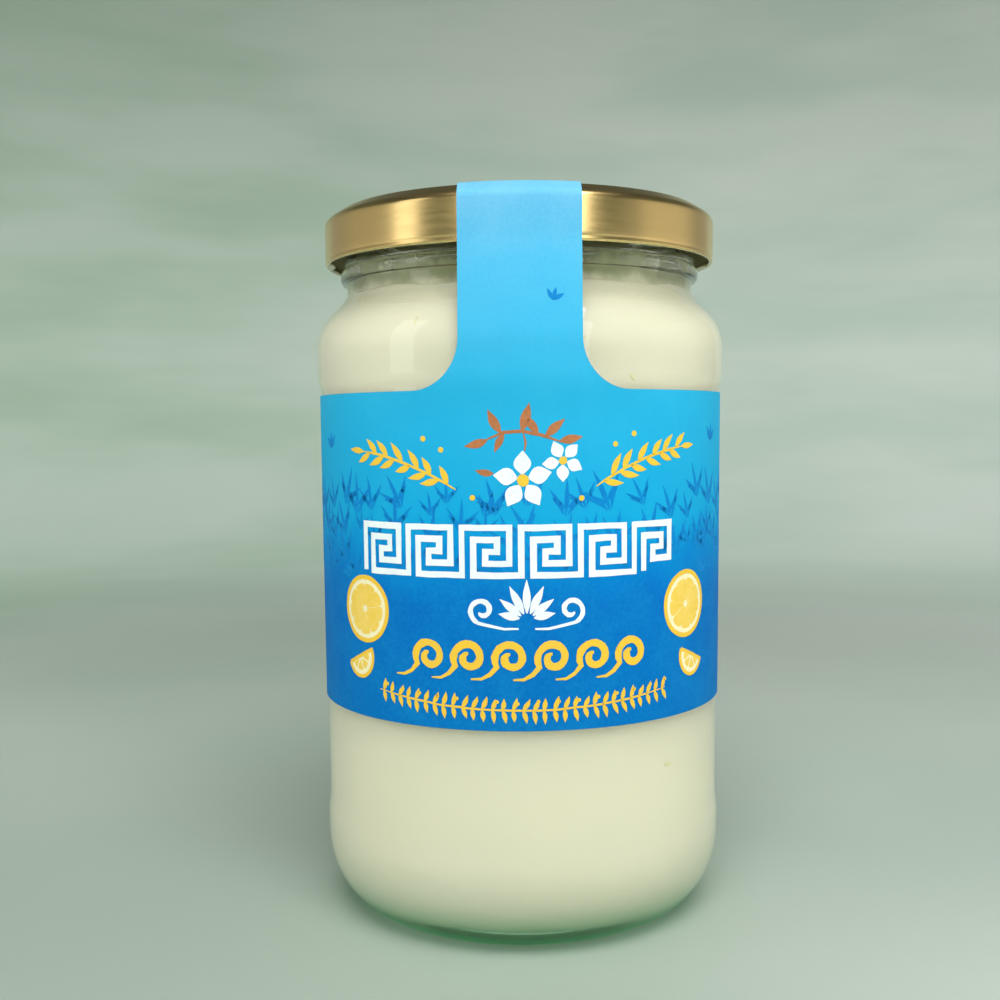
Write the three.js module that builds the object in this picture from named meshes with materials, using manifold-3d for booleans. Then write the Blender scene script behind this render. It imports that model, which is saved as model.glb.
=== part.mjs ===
// A shut glass jar of yoghurt with a twist-off lid and a paper label whose strip runs up over the lid.
// Millimetres, +Z up. The origin is under the middle of the base, and the label's strip faces -Y.
import * as THREE from 'three';
import * as BufferGeometryUtils from 'three/addons/utils/BufferGeometryUtils.js';
import Module from 'manifold-3d';

const wasm = await Module();
wasm.setup();

// Driving dimensions of the glass jar, outside
const SEGMENTS = 52;
const PANEL_R = 43.95;
const HEEL_R = 44.4;
const BUMPER_R = 44.7;
const NECK_R = 37.85;
const BEAD_R = 39.35;
const FINISH_R = 38.5;
const CONTACT_OUTER_R = 34.9;
const CONTACT_INNER_R = 32.2;
const HEEL_TOP_Z = 16.5;
const HEEL_DEPTH = 12.5;
const HEEL_RISE = 17.0;
const HEEL_BAND_TOP_Z = 19.5;
const PANEL_BOTTOM_Z = 25.5;
const PANEL_TOP_Z = 113.6;
const BUMPER_BOTTOM_Z = 117.0;
const BUMPER_TOP_Z = 122.6;
const NECK_BOTTOM_Z = 135.9;
const SHOULDER_LOW_PULL = 8.0;
const SHOULDER_HIGH_PULL = 4.6;
const NECK_TOP_Z = 137.0;
const BEAD_Z = 138.6;
const BEAD_HALF_HEIGHT = 1.5;
const RIM_Z = 150.6;
const RIM_HALF_HEIGHT = 1.1;
const PUSH_UP = 3.2;

// Driving dimensions of the glass jar, inside
const INNER_R = 41.8;
const INNER_NECK_R = 35.4;
const MOUTH_R = 36.1;
const INNER_HEEL_TOP_Z = 19.0;
const INNER_FLOOR_R = 31.0;
const INNER_FLOOR_EDGE_Z = 5.6;
const INNER_FLOOR_MIDDLE_Z = 6.9;
const INNER_SHOULDER_BOTTOM_Z = 121.6;
const INNER_SHOULDER_TOP_Z = 134.6;
const INNER_LOW_PULL = 7.8;
const INNER_HIGH_PULL = 4.9;

// Thread on the jar's mouth and lugs in the lid
const LUG_COUNT = 6;
const THREAD_SECTION_R = 1.2;
const THREAD_PATH_R = 38.7;
const THREAD_ARC = THREE.MathUtils.degToRad(46);
const THREAD_LOW_Z = 144.3;
const THREAD_RISE = 3.0;
const LUG_INNER_R = 39.9;
const LUG_ARC = THREE.MathUtils.degToRad(11);
const LUG_HEIGHT = 0.9;
const LUG_LIFT = 0.4;
const LUG_TURN = THREE.MathUtils.degToRad(6);

// Yoghurt
const FILL_Z = 134.0;
const FILL_GAP = 0.12;
const FILL_DIP = 0.35;
const FILL_EDGE = 1.5;

// Lid
const LID_R = 42.5;
const LID_FOOT_Z = 141.0;
const LID_TOP_Z = 152.2;
const LID_WALL = 0.5;
const CURL_R = 0.75;
const CORNER_R = 1.9;
const CORNER_Z = 149.0;
const CREST_R = 38.8;
const CREST_ROUNDING = 1.0;
const PANEL_EDGE_R = 36.2;
const PANEL_STEP_R = 37.1;
const PANEL_STEP_Z = 151.5;
const LID_PANEL_Z = 151.25;
const LINER_Z = 150.7;

// Paper label
const LABEL_BOTTOM_Z = 47.3;
const LABEL_TOP_Z = 113.1;
const LABEL_R = 44.1;
const PAPER = 0.25;
const PAPER_GAP = 0.12;
const STRIP_WIDTH = 23.8;
const FILLET_R = 9.9;
const STRIP_END_Y = -13.0;
const BRIDGE_LEAN = THREE.MathUtils.degToRad(3);
const FRONT_COLUMNS = 10;
const BACK_COLUMNS = 50;
const FILLET_ROWS = 6;
const CREST_ROWS = 7;
const TOP_ROWS = 6;
const TOP_CLOSE_ROWS = 0.11;

function point(r, z) {
  return new THREE.Vector2(r, z);
}

// Points on an arc of an ellipse, angles in degrees from straight outward, counted upward.
function arc(centreR, centreZ, radiusR, radiusZ, from, to, steps) {
  const points = [];
  for (let i = 0; i <= steps; i += 1) {
    const angle = THREE.MathUtils.degToRad(from + ((to - from) * i) / steps);
    points.push(point(centreR + radiusR * Math.cos(angle), centreZ + radiusZ * Math.sin(angle)));
  }
  return points;
}

// Points of a smooth S-bend between two upright stretches of wall.
function bend(bottom, bottomPull, top, topPull, steps) {
  const curve = new THREE.CubicBezierCurve(
    bottom,
    point(bottom.x, bottom.y + bottomPull),
    point(top.x, top.y - topPull),
    top,
  );
  return curve.getPoints(steps);
}

// Turns a profile, given counter-clockwise round the solid's half section, about the upright axis.
function turned(profile) {
  const geometry = new THREE.LatheGeometry(profile, SEGMENTS);
  geometry.rotateX(Math.PI / 2);
  return geometry;
}

function toManifold(geometry) {
  let bare = geometry.clone();
  bare.deleteAttribute('normal');
  bare.deleteAttribute('uv');
  bare = BufferGeometryUtils.mergeVertices(bare, 1e-3);
  const corners = bare.index.array;
  const kept = [];
  for (let i = 0; i < corners.length; i += 3) {
    const [a, b, c] = [corners[i], corners[i + 1], corners[i + 2]];
    if (a !== b && b !== c && c !== a) {
      kept.push(a, b, c);
    }
  }
  const mesh = new wasm.Mesh({
    numProp: 3,
    vertProperties: new Float32Array(bare.attributes.position.array),
    triVerts: new Uint32Array(kept),
  });
  return new wasm.Manifold(mesh);
}

// One closed body of a base solid and the small pieces fused to it.
function fused(base, pieces) {
  let solid = toManifold(base);
  for (const piece of pieces) {
    solid = solid.add(toManifold(piece));
  }
  const result = solid.getMesh();
  const geometry = new THREE.BufferGeometry();
  geometry.setAttribute('position', new THREE.BufferAttribute(result.vertProperties, 3));
  geometry.setIndex(new THREE.BufferAttribute(result.triVerts, 1));
  geometry.computeVertexNormals();
  return geometry;
}

// Points of a shallow dome from its middle out to its edge.
function dome(middleZ, edgeR, edgeZ, steps) {
  const points = [];
  for (let i = 0; i <= steps; i += 1) {
    const way = i / steps;
    points.push(point(edgeR * way, middleZ + (edgeZ - middleZ) * way * way));
  }
  return points;
}

function mouthArc() {
  const middleR = (FINISH_R + MOUTH_R) / 2;
  const halfWall = (FINISH_R - MOUTH_R) / 2;
  return arc(middleR, RIM_Z - RIM_HALF_HEIGHT, halfWall, RIM_HALF_HEIGHT, 0, 180, 4);
}

function innerShoulder(gap) {
  return bend(
    point(INNER_R - gap, INNER_SHOULDER_BOTTOM_Z - gap),
    INNER_LOW_PULL,
    point(INNER_NECK_R - gap, INNER_SHOULDER_TOP_Z - gap),
    INNER_HIGH_PULL,
    6,
  );
}

function innerHeel(gap) {
  const floorZ = INNER_FLOOR_EDGE_Z + gap;
  return arc(INNER_FLOOR_R, INNER_HEEL_TOP_Z, INNER_R - gap - INNER_FLOOR_R, INNER_HEEL_TOP_Z - floorZ, -90, 0, 5);
}

// Glass jar: push-up and contact ring, round heel, lower band, recessed label panel, upper band,
// shoulder, neck, bead, mouth, and the inside down to the thick floor.
function jarProfile() {
  const heelCentreR = HEEL_R - HEEL_DEPTH;
  const heelCut = THREE.MathUtils.radToDeg(Math.acos((CONTACT_OUTER_R - heelCentreR) / HEEL_DEPTH));
  const heel = arc(heelCentreR, HEEL_TOP_Z, HEEL_DEPTH, HEEL_RISE, -heelCut, 0, 6);
  heel[0].y = 0;
  return [
    ...dome(PUSH_UP, CONTACT_INNER_R, 0, 3),
    ...heel,
    point(HEEL_R, HEEL_BAND_TOP_Z),
    point((HEEL_R + PANEL_R) / 2, (HEEL_BAND_TOP_Z + PANEL_BOTTOM_Z) / 2),
    point(PANEL_R, PANEL_BOTTOM_Z),
    point(PANEL_R, PANEL_TOP_Z),
    point((BUMPER_R + PANEL_R) / 2, (BUMPER_BOTTOM_Z + PANEL_TOP_Z) / 2),
    point(BUMPER_R, BUMPER_BOTTOM_Z),
    ...bend(point(BUMPER_R, BUMPER_TOP_Z), SHOULDER_LOW_PULL, point(NECK_R, NECK_BOTTOM_Z), SHOULDER_HIGH_PULL, 8),
    point(NECK_R, NECK_TOP_Z),
    ...arc(FINISH_R, BEAD_Z, BEAD_R - FINISH_R, BEAD_HALF_HEIGHT, -60, 90, 4),
    ...mouthArc(),
    ...innerShoulder(0).reverse(),
    ...innerHeel(0).reverse(),
    ...dome(INNER_FLOOR_MIDDLE_Z, INNER_FLOOR_R, INNER_FLOOR_EDGE_Z, 2).reverse().slice(1),
  ];
}

// Centre line of one short thread: it climbs as it goes round the mouth.
class ThreadPath extends THREE.Curve {
  constructor(start) {
    super();
    this.start = start;
  }

  getPoint(t, target = new THREE.Vector3()) {
    const angle = this.start + THREAD_ARC * t;
    const z = THREAD_LOW_Z + THREAD_RISE * t;
    return target.set(THREAD_PATH_R * Math.cos(angle), THREAD_PATH_R * Math.sin(angle), z);
  }
}

function thread(index) {
  const section = new THREE.Shape();
  section.absarc(0, 0, THREAD_SECTION_R, 0, Math.PI * 2, false);
  const start = (index / LUG_COUNT) * Math.PI * 2;
  return new THREE.ExtrudeGeometry(section, {
    extrudePath: new ThreadPath(start),
    steps: 6,
    curveSegments: 6,
    bevelEnabled: false,
  });
}

// Yoghurt: it fills the jar to just under the bead and keeps a hair's gap to the glass.
function yogurtProfile() {
  const neckR = INNER_NECK_R - FILL_GAP;
  return [
    ...dome(INNER_FLOOR_MIDDLE_Z + FILL_GAP, INNER_FLOOR_R, INNER_FLOOR_EDGE_Z + FILL_GAP, 2).slice(0, -1),
    ...innerHeel(FILL_GAP),
    ...innerShoulder(FILL_GAP).filter((p) => p.y < FILL_Z - FILL_DIP),
    point(neckR, FILL_Z),
    point(neckR - FILL_EDGE, FILL_Z - FILL_DIP),
    point(0, FILL_Z - FILL_DIP),
  ];
}

// Outside of the lid from the top of its skirt to the edge of its middle panel.
function lidShoulder() {
  return [
    ...arc(LID_R - CORNER_R, CORNER_Z, CORNER_R, CORNER_R, 0, 60, 4),
    ...arc(CREST_R, LID_TOP_Z - CREST_ROUNDING, CREST_ROUNDING, CREST_ROUNDING, 60, 120, 3),
    point(PANEL_STEP_R, PANEL_STEP_Z),
    point(PANEL_EDGE_R, LID_PANEL_Z),
  ];
}

// Lid: flat panel, raised ring, rounded corner, skirt, and an inward curl at the foot.
function lidProfile() {
  return [
    point(0, LINER_Z),
    point(LID_R - CORNER_R, LINER_Z),
    point(LID_R - LID_WALL, CORNER_Z),
    point(LID_R - LID_WALL, LID_FOOT_Z + CURL_R * 2),
    ...arc(LID_R - CURL_R, LID_FOOT_Z + CURL_R, CURL_R, CURL_R, -225, 0, 6),
    ...lidShoulder(),
    point(0, LID_PANEL_Z),
  ];
}

function lug(index) {
  const middle = LUG_TURN + (index / LUG_COUNT) * Math.PI * 2;
  const shape = new THREE.Shape();
  shape.absarc(0, 0, LID_R - CURL_R, middle - LUG_ARC / 2, middle + LUG_ARC / 2, false);
  shape.absarc(0, 0, LUG_INNER_R, middle + LUG_ARC / 2, middle - LUG_ARC / 2, true);
  shape.closePath();
  const geometry = new THREE.ExtrudeGeometry(shape, { depth: LUG_HEIGHT, bevelEnabled: false, curveSegments: 4 });
  geometry.translate(0, 0, LID_FOOT_Z + LUG_LIFT);
  return geometry;
}

// Rows of the strip from the label's top edge to the lid's crest: r and z on the paper's inner face,
// its half width, and the direction of its thickness as an angle up from straight outward. The first
// stretch narrows along two round fillets, and the paper spans the neck without touching it.
function stripRows() {
  const rows = [];
  for (let i = 1; i <= FILLET_ROWS; i += 1) {
    const rise = FILLET_R * (1 - Math.cos((Math.PI / 2) * (i / FILLET_ROWS)));
    const side = FILLET_R - Math.sqrt(FILLET_R ** 2 - (FILLET_R - rise) ** 2);
    const z = LABEL_TOP_Z + rise;
    const onBumper = THREE.MathUtils.smoothstep(z, LABEL_TOP_Z, BUMPER_BOTTOM_Z - PAPER_GAP);
    const r = THREE.MathUtils.lerp(LABEL_R, BUMPER_R + PAPER_GAP, onBumper);
    rows.push({ r, z, halfWidth: STRIP_WIDTH / 2 + side, lean: 0 });
  }
  const footR = LID_R + PAPER_GAP;
  rows.push({ r: footR, z: LID_FOOT_Z + CURL_R, halfWidth: STRIP_WIDTH / 2, lean: BRIDGE_LEAN });
  const shoulder = lidShoulder();
  for (const [i, p] of shoulder.slice(0, CREST_ROWS).entries()) {
    const before = shoulder[Math.max(i - 1, 0)];
    const after = shoulder[i + 1];
    const along = Math.atan2(after.y - before.y, after.x - before.x);
    const lean = i === 0 ? 0 : along - Math.PI / 2;
    const r = p.x + PAPER_GAP * Math.cos(lean);
    const z = p.y + PAPER_GAP * Math.sin(lean);
    rows.push({ r, z, halfWidth: STRIP_WIDTH / 2, lean });
  }
  return rows;
}

// Height of the paper's inner face over the lid, at a distance from the axis inside the crest.
function heightOverLid(r) {
  const rise = THREE.MathUtils.smoothstep(r, PANEL_EDGE_R, CREST_R);
  const steep = THREE.MathUtils.smoothstep(r, PANEL_EDGE_R - 1, PANEL_STEP_R);
  const height = Math.max(rise * (LID_TOP_Z - LID_PANEL_Z), steep * (PANEL_STEP_Z - LID_PANEL_Z));
  return LID_PANEL_Z + PAPER_GAP + height;
}

// The label is one sheet of paper. Its vertices are made twice, on the inner and the outer face,
// and every free edge of the sheet is closed by a narrow wall between the two.
function labelGeometry() {
  const inner = [];
  const outer = [];
  const triangles = [];

  function addVertex(position, direction) {
    inner.push(position);
    outer.push(position.clone().addScaledVector(direction, PAPER));
    return inner.length - 1;
  }

  function onRound(r, z, across, lean) {
    const angle = across / r;
    const away = new THREE.Vector3(Math.sin(angle), -Math.cos(angle), 0);
    const direction = away.clone().multiplyScalar(Math.cos(lean));
    direction.z = Math.sin(lean);
    const position = away.multiplyScalar(r);
    position.z = z;
    return addVertex(position, direction);
  }

  function join(below, above) {
    for (let i = 0; i + 1 < below.length; i += 1) {
      triangles.push([below[i], below[i + 1], above[i + 1]], [below[i], above[i + 1], above[i]]);
    }
  }

  const frontHalf = STRIP_WIDTH / 2 + FILLET_R;
  const circumference = Math.PI * 2 * LABEL_R;
  const acrosses = [];
  for (let i = 0; i <= FRONT_COLUMNS; i += 1) {
    acrosses.push(-frontHalf + (2 * frontHalf * i) / FRONT_COLUMNS);
  }
  for (let i = 1; i < BACK_COLUMNS; i += 1) {
    acrosses.push(frontHalf + ((circumference - 2 * frontHalf) * i) / BACK_COLUMNS);
  }
  const bottomRow = acrosses.map((across) => onRound(LABEL_R, LABEL_BOTTOM_Z, across, 0));
  const topRow = acrosses.map((across) => onRound(LABEL_R, LABEL_TOP_Z, across, 0));
  join([...bottomRow, bottomRow[0]], [...topRow, topRow[0]]);

  let below = topRow.slice(0, FRONT_COLUMNS + 1);
  for (const row of stripRows()) {
    const above = [];
    for (let i = 0; i <= FRONT_COLUMNS; i += 1) {
      above.push(onRound(row.r, row.z, row.halfWidth * ((2 * i) / FRONT_COLUMNS - 1), row.lean));
    }
    join(below, above);
    below = above;
  }

  const crest = below.map((index) => inner[index].clone());
  const upward = new THREE.Vector3(0, 0, 1);
  for (let k = 1; k <= TOP_ROWS; k += 1) {
    const way = k < TOP_ROWS ? (TOP_CLOSE_ROWS * k) / (TOP_ROWS - 1) : 1;
    const above = crest.map((from) => {
      const position = from.clone();
      position.y = THREE.MathUtils.lerp(from.y, STRIP_END_Y, way);
      position.z = heightOverLid(Math.hypot(position.x, position.y));
      return addVertex(position, upward);
    });
    join(below, above);
    below = above;
  }

  const count = inner.length;
  const index = [];
  const edges = new Map();
  for (const [a, b, c] of triangles) {
    index.push(a + count, b + count, c + count);
    index.push(c, b, a);
    for (const [from, to] of [[a, b], [b, c], [c, a]]) {
      if (edges.has(`${to} ${from}`)) {
        edges.delete(`${to} ${from}`);
      } else {
        edges.set(`${from} ${to}`, [from, to]);
      }
    }
  }
  for (const [from, to] of edges.values()) {
    index.push(from, to, to + count);
    index.push(from, to + count, from + count);
  }
  const geometry = new THREE.BufferGeometry();
  const positions = [...inner, ...outer].flatMap((p) => [p.x, p.y, p.z]);
  geometry.setAttribute('position', new THREE.Float32BufferAttribute(positions, 3));
  geometry.setIndex(index);
  geometry.computeVertexNormals();
  return geometry;
}

function named(name, geometry, color, roughness, metalness) {
  const material = new THREE.MeshStandardMaterial({ color, roughness, metalness });
  const mesh = new THREE.Mesh(geometry, material);
  mesh.name = name;
  return mesh;
}

const lugNumbers = Array.from({ length: LUG_COUNT }, (_, i) => i);
const jar = new THREE.Group();
const glass = named('glass_jar', fused(turned(jarProfile()), lugNumbers.map(thread)), 0xc9d8cc, 0.05, 0.0);
glass.material.transparent = true;
glass.material.opacity = 0.35;
jar.add(glass);
jar.add(named('yogurt', turned(yogurtProfile()), 0xeeead0, 0.6, 0.0));
jar.add(named('lid', fused(turned(lidProfile()), lugNumbers.map(lug)), 0xb8965a, 0.35, 1.0));
jar.add(named('label', labelGeometry(), 0x1ea4dc, 0.7, 0.0));

export default jar;
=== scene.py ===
# A shut glass jar of lemon yoghurt. Its gold twist-off lid is sealed by a strip of the paper label.
import math
import random

import bmesh
import bpy
from mathutils import Matrix, Vector


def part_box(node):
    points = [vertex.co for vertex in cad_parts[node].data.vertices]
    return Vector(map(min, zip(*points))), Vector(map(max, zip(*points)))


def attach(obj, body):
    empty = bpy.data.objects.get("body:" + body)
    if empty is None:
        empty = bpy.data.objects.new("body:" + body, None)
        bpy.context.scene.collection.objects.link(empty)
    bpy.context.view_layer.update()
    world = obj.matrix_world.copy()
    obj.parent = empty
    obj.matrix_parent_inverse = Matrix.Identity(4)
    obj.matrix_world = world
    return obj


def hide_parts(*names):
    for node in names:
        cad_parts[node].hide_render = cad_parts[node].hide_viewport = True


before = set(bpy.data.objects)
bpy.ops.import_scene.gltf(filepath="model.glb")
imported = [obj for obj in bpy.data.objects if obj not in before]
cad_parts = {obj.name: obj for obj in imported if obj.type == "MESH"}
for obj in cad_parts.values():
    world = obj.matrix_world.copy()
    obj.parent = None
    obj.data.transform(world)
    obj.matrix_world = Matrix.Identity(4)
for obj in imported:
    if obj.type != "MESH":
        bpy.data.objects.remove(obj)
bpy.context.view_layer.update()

# Glass jar
# Slightly green soda glass, pressed and blown about 2 mm thick with a thicker floor. The mould leaves
# a recessed panel for the label, a knurled ring to stand on and six short threads for the lid.
MM = 0.001
_, jar_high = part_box("glass_jar")
BUMPER_R = jar_high.x
RIM_Z = jar_high.z
PANEL_R = 43.95 * MM
HEEL_R = 44.4 * MM
NECK_R = 37.85 * MM
BEAD_R = 39.35 * MM
FINISH_R = 38.5 * MM
CONTACT_OUTER_R = 34.9 * MM
CONTACT_INNER_R = 32.2 * MM
PUSH_UP = 3.2 * MM
HEEL_TOP_Z = 16.5 * MM
HEEL_DEPTH = 12.5 * MM
HEEL_RISE = 17.0 * MM
HEEL_BAND_TOP_Z = 19.5 * MM
PANEL_BOTTOM_Z = 25.5 * MM
PANEL_TOP_Z = 113.6 * MM
BUMPER_BOTTOM_Z = 117.0 * MM
BUMPER_TOP_Z = 122.6 * MM
SHOULDER_PULLS = (8.0 * MM, 4.6 * MM)
NECK_BOTTOM_Z = 135.9 * MM
NECK_TOP_Z = 137.0 * MM
BEAD_Z = 138.6 * MM
BEAD_HALF_HEIGHT = 1.5 * MM
RIM_HALF_HEIGHT = 1.1 * MM
INNER_R = 41.8 * MM
INNER_NECK_R = 35.4 * MM
MOUTH_R = 36.1 * MM
INNER_HEEL_TOP_Z = 19.0 * MM
FLOOR_R = 31.0 * MM
FLOOR_EDGE_Z = 5.6 * MM
FLOOR_MIDDLE_Z = 6.9 * MM
INNER_SHOULDER_Z = (121.6 * MM, 134.6 * MM)
INNER_PULLS = (7.8 * MM, 4.9 * MM)
JAR_STEPS = 340
KNURL_BARS = 72
KNURL_DEPTH = 0.6 * MM
KNURL_FADE_IN_R = (32.3 * MM, 33.0 * MM)
KNURL_FADE_OUT_R = (35.2 * MM, 37.4 * MM)
KNURL_TOP_Z = (1.6 * MM, 2.4 * MM)
THREADS = 6
THREAD_SHARE = 46 / 60
THREAD_LOW_Z = 144.3 * MM
THREAD_RISE = 3.0 * MM
THREAD_HEIGHT = 1.3 * MM
THREAD_CROWN = (0.1 * MM, 1.3 * MM)
GREEN_Z = (2.6 * MM, 7.5 * MM)
PAINTED_GLOW_Z = (2.4 * MM, 4.2 * MM)
PAINTED_LIT_FOOT_Z = (0.55 * MM, 0.95 * MM)
SWEEP_R = 20.0 * MM
WELD = 0.002 * MM


def arc(centre_r, centre_z, radius_r, radius_z, start, end, steps):
    """Points on an arc of an ellipse, angles in degrees from straight outward, counted upward."""
    angles = [math.radians(start + (end - start) * i / steps) for i in range(steps + 1)]
    return [(centre_r + radius_r * math.cos(a), centre_z + radius_z * math.sin(a)) for a in angles]


def straight(start, end, steps):
    """Evenly spaced points on a straight line."""
    ways = [i / steps for i in range(steps + 1)]
    return [tuple(Vector(start).lerp(Vector(end), way)) for way in ways]


def bend(bottom, top, pulls, steps):
    """Points of a smooth S-bend between two upright stretches of wall."""
    corners = [bottom, (bottom[0], bottom[1] + pulls[0]), (top[0], top[1] - pulls[1]), top]
    points = []
    for i in range(steps + 1):
        level = [Vector(corner) for corner in corners]
        while len(level) > 1:
            level = [a.lerp(b, i / steps) for a, b in zip(level, level[1:])]
        points.append(tuple(level[0]))
    return points


def dome(middle_z, edge_r, edge_z, steps):
    """Points of a shallow dome from its middle out to its edge."""
    ways = [i / steps for i in range(steps + 1)]
    return [(edge_r * way, middle_z + (edge_z - middle_z) * way * way) for way in ways]


def inner_heel(gap):
    """The inside of the heel, or the same line a gap further in."""
    floor_z = FLOOR_EDGE_Z + gap
    return arc(FLOOR_R, INNER_HEEL_TOP_Z, INNER_R - gap - FLOOR_R, INNER_HEEL_TOP_Z - floor_z, -90, 0, 20)


def inner_shoulder(gap):
    """The inside of the shoulder, or the same line a gap further in."""
    bottom = (INNER_R - gap, INNER_SHOULDER_Z[0] - gap)
    top = (INNER_NECK_R - gap, INNER_SHOULDER_Z[1] - gap)
    return bend(bottom, top, INNER_PULLS, 24)


def jar_profile():
    """Half section of the glass, from the middle of the underside round to the middle of the floor."""
    heel_r = HEEL_R - HEEL_DEPTH
    cut = math.degrees(math.acos((CONTACT_OUTER_R - heel_r) / HEEL_DEPTH))
    mouth_r = (FINISH_R + MOUTH_R) / 2
    lip_z = RIM_Z - RIM_HALF_HEIGHT
    inner_top = (INNER_NECK_R, INNER_SHOULDER_Z[1])
    return [
        *dome(PUSH_UP, CONTACT_INNER_R, 0.0, 16),
        *straight((CONTACT_INNER_R, 0.0), (CONTACT_OUTER_R, 0.0), 6),
        *arc(heel_r, HEEL_TOP_Z, HEEL_DEPTH, HEEL_RISE, 2 - cut, 0, 24),
        *bend((HEEL_R, HEEL_BAND_TOP_Z), (PANEL_R, PANEL_BOTTOM_Z), (2.4 * MM, 2.4 * MM), 10),
        *straight((PANEL_R, PANEL_BOTTOM_Z), (PANEL_R, PANEL_TOP_Z), 30),
        *bend((PANEL_R, PANEL_TOP_Z), (BUMPER_R, BUMPER_BOTTOM_Z), (1.4 * MM, 1.4 * MM), 8),
        *straight((BUMPER_R, BUMPER_BOTTOM_Z), (BUMPER_R, BUMPER_TOP_Z), 4),
        *bend((BUMPER_R, BUMPER_TOP_Z), (NECK_R, NECK_BOTTOM_Z), SHOULDER_PULLS, 28),
        *arc(NECK_R + 0.5 * MM, NECK_TOP_Z - 0.2 * MM, 0.5 * MM, 0.5 * MM, 180, 90, 4),
        *arc(FINISH_R, BEAD_Z, BEAD_R - FINISH_R, BEAD_HALF_HEIGHT, -60, 90, 14),
        *straight((FINISH_R, BEAD_Z + BEAD_HALF_HEIGHT), (FINISH_R, lip_z), 24),
        *arc(mouth_r, lip_z, FINISH_R - mouth_r, RIM_HALF_HEIGHT, 0, 180, 12),
        *straight((MOUTH_R, lip_z), inner_top, 8),
        *reversed(inner_shoulder(0.0)),
        *straight((INNER_R, INNER_SHOULDER_Z[0]), (INNER_R, INNER_HEEL_TOP_Z), 30),
        *reversed(inner_heel(0.0)),
        *reversed(dome(FLOOR_MIDDLE_Z, FLOOR_R, FLOOR_EDGE_Z, 10)),
    ]


def profile_mesh(name, points):
    """A chain of edges in the XZ plane through the points, without doubles."""
    kept = [points[0]]
    for point in points[1:]:
        if math.dist(point, kept[-1]) > WELD:
            kept.append(point)
    mesh = bpy.data.meshes.new(name)
    mesh.from_pydata([(r, 0.0, z) for r, z in kept], [(i, i + 1) for i in range(len(kept) - 1)], [])
    return mesh


def fill_socket(tree, socket, value):
    """Links a socket to another one, or sets its value."""
    if isinstance(value, bpy.types.NodeSocket):
        tree.links.new(value, socket)
    else:
        socket.default_value = value


def add_node(tree, kind, inputs=None, **settings):
    """One node, with its inputs set or linked by name or number."""
    node = tree.nodes.new(kind)
    for name, value in settings.items():
        setattr(node, name, value)
    for key, value in (inputs or {}).items():
        fill_socket(tree, node.inputs[key], value)
    return node


def maths(tree, operation, *values):
    """The result of one Math node on sockets or numbers."""
    return add_node(tree, "ShaderNodeMath", dict(enumerate(values)), operation=operation).outputs[0]


def product(tree, *values):
    """Sockets or numbers multiplied together."""
    result = values[0]
    for value in values[1:]:
        result = maths(tree, "MULTIPLY", result, value)
    return result


def vectors(tree, operation, *values):
    """The result of one Vector Math node on sockets or vectors."""
    node = add_node(tree, "ShaderNodeVectorMath", dict(enumerate(values)), operation=operation)
    return node.outputs[0]


def scaled(tree, vector, factor):
    """A vector times a number."""
    inputs = {0: vector, "Scale": factor}
    return add_node(tree, "ShaderNodeVectorMath", inputs, operation="SCALE").outputs[0]


def ramp(tree, value, start, end, low=0.0, high=1.0):
    """A smooth step from low at start to high at end."""
    inputs = {"Value": value, "From Min": start, "From Max": end, "To Min": low, "To Max": high}
    return add_node(tree, "ShaderNodeMapRange", inputs, interpolation_type="SMOOTHSTEP").outputs[0]


def upward(tree, rise):
    """A vector straight up."""
    return add_node(tree, "ShaderNodeCombineXYZ", {2: rise}).outputs[0]


def moved(tree, geometry, offset):
    """Geometry with each point moved by an offset."""
    inputs = {"Geometry": geometry, "Offset": offset}
    return add_node(tree, "GeometryNodeSetPosition", inputs).outputs[0]


def from_axis(tree, place):
    """A place's own level vector from the jar's axis, and its length."""
    level = vectors(tree, "MULTIPLY", place, (1, 1, 0))
    length = add_node(tree, "ShaderNodeVectorMath", {0: level}, operation="LENGTH")
    return level, length.outputs["Value"]


def random_number(tree, low, high, seed):
    """A random number for each point."""
    node = add_node(tree, "FunctionNodeRandomValue", {"Min": low, "Max": high, "Seed": seed})
    return next(socket for socket in node.outputs if socket.enabled)


def new_tree(name, sizes):
    """A node tree with a geometry input and output, and one named input for each size."""
    tree = bpy.data.node_groups.new(name, "GeometryNodeTree")
    tree.interface.new_socket("Geometry", in_out="INPUT", socket_type="NodeSocketGeometry")
    for label, kind in sizes.items():
        tree.interface.new_socket(label, in_out="INPUT", socket_type="NodeSocket" + kind)
    tree.interface.new_socket("Geometry", in_out="OUTPUT", socket_type="NodeSocketGeometry")
    return tree, add_node(tree, "NodeGroupInput").outputs


def end_tree(tree, geometry, material):
    """Closes a tree: smooth shading, real geometry, one material."""
    smooth = add_node(tree, "GeometryNodeSetShadeSmooth", {"Geometry": geometry}).outputs[0]
    real = add_node(tree, "GeometryNodeRealizeInstances", {"Geometry": smooth}).outputs[0]
    painted = add_node(tree, "GeometryNodeSetMaterial", {"Geometry": real, "Material": material})
    add_node(tree, "NodeGroupOutput", {0: painted.outputs[0]})


def swept(tree, profile, steps):
    """Sweeps a half profile, drawn in the XZ plane, round the upright axis and welds its poles."""
    curve = add_node(tree, "GeometryNodeMeshToCurve", {"Mesh": profile}).outputs[0]
    placing = {"Geometry": curve, "Translation": (-SWEEP_R, 0, 0), "Rotation": (math.pi / 2, 0, 0)}
    section = add_node(tree, "GeometryNodeTransform", placing).outputs[0]
    circle = add_node(tree, "GeometryNodeCurvePrimitiveCircle", {"Resolution": steps, "Radius": SWEEP_R})
    path = {"Curve": circle.outputs[0], "Profile Curve": section}
    shell = add_node(tree, "GeometryNodeCurveToMesh", path).outputs[0]
    return add_node(tree, "GeometryNodeMergeByDistance", {"Geometry": shell, "Distance": WELD}).outputs[0]


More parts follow.
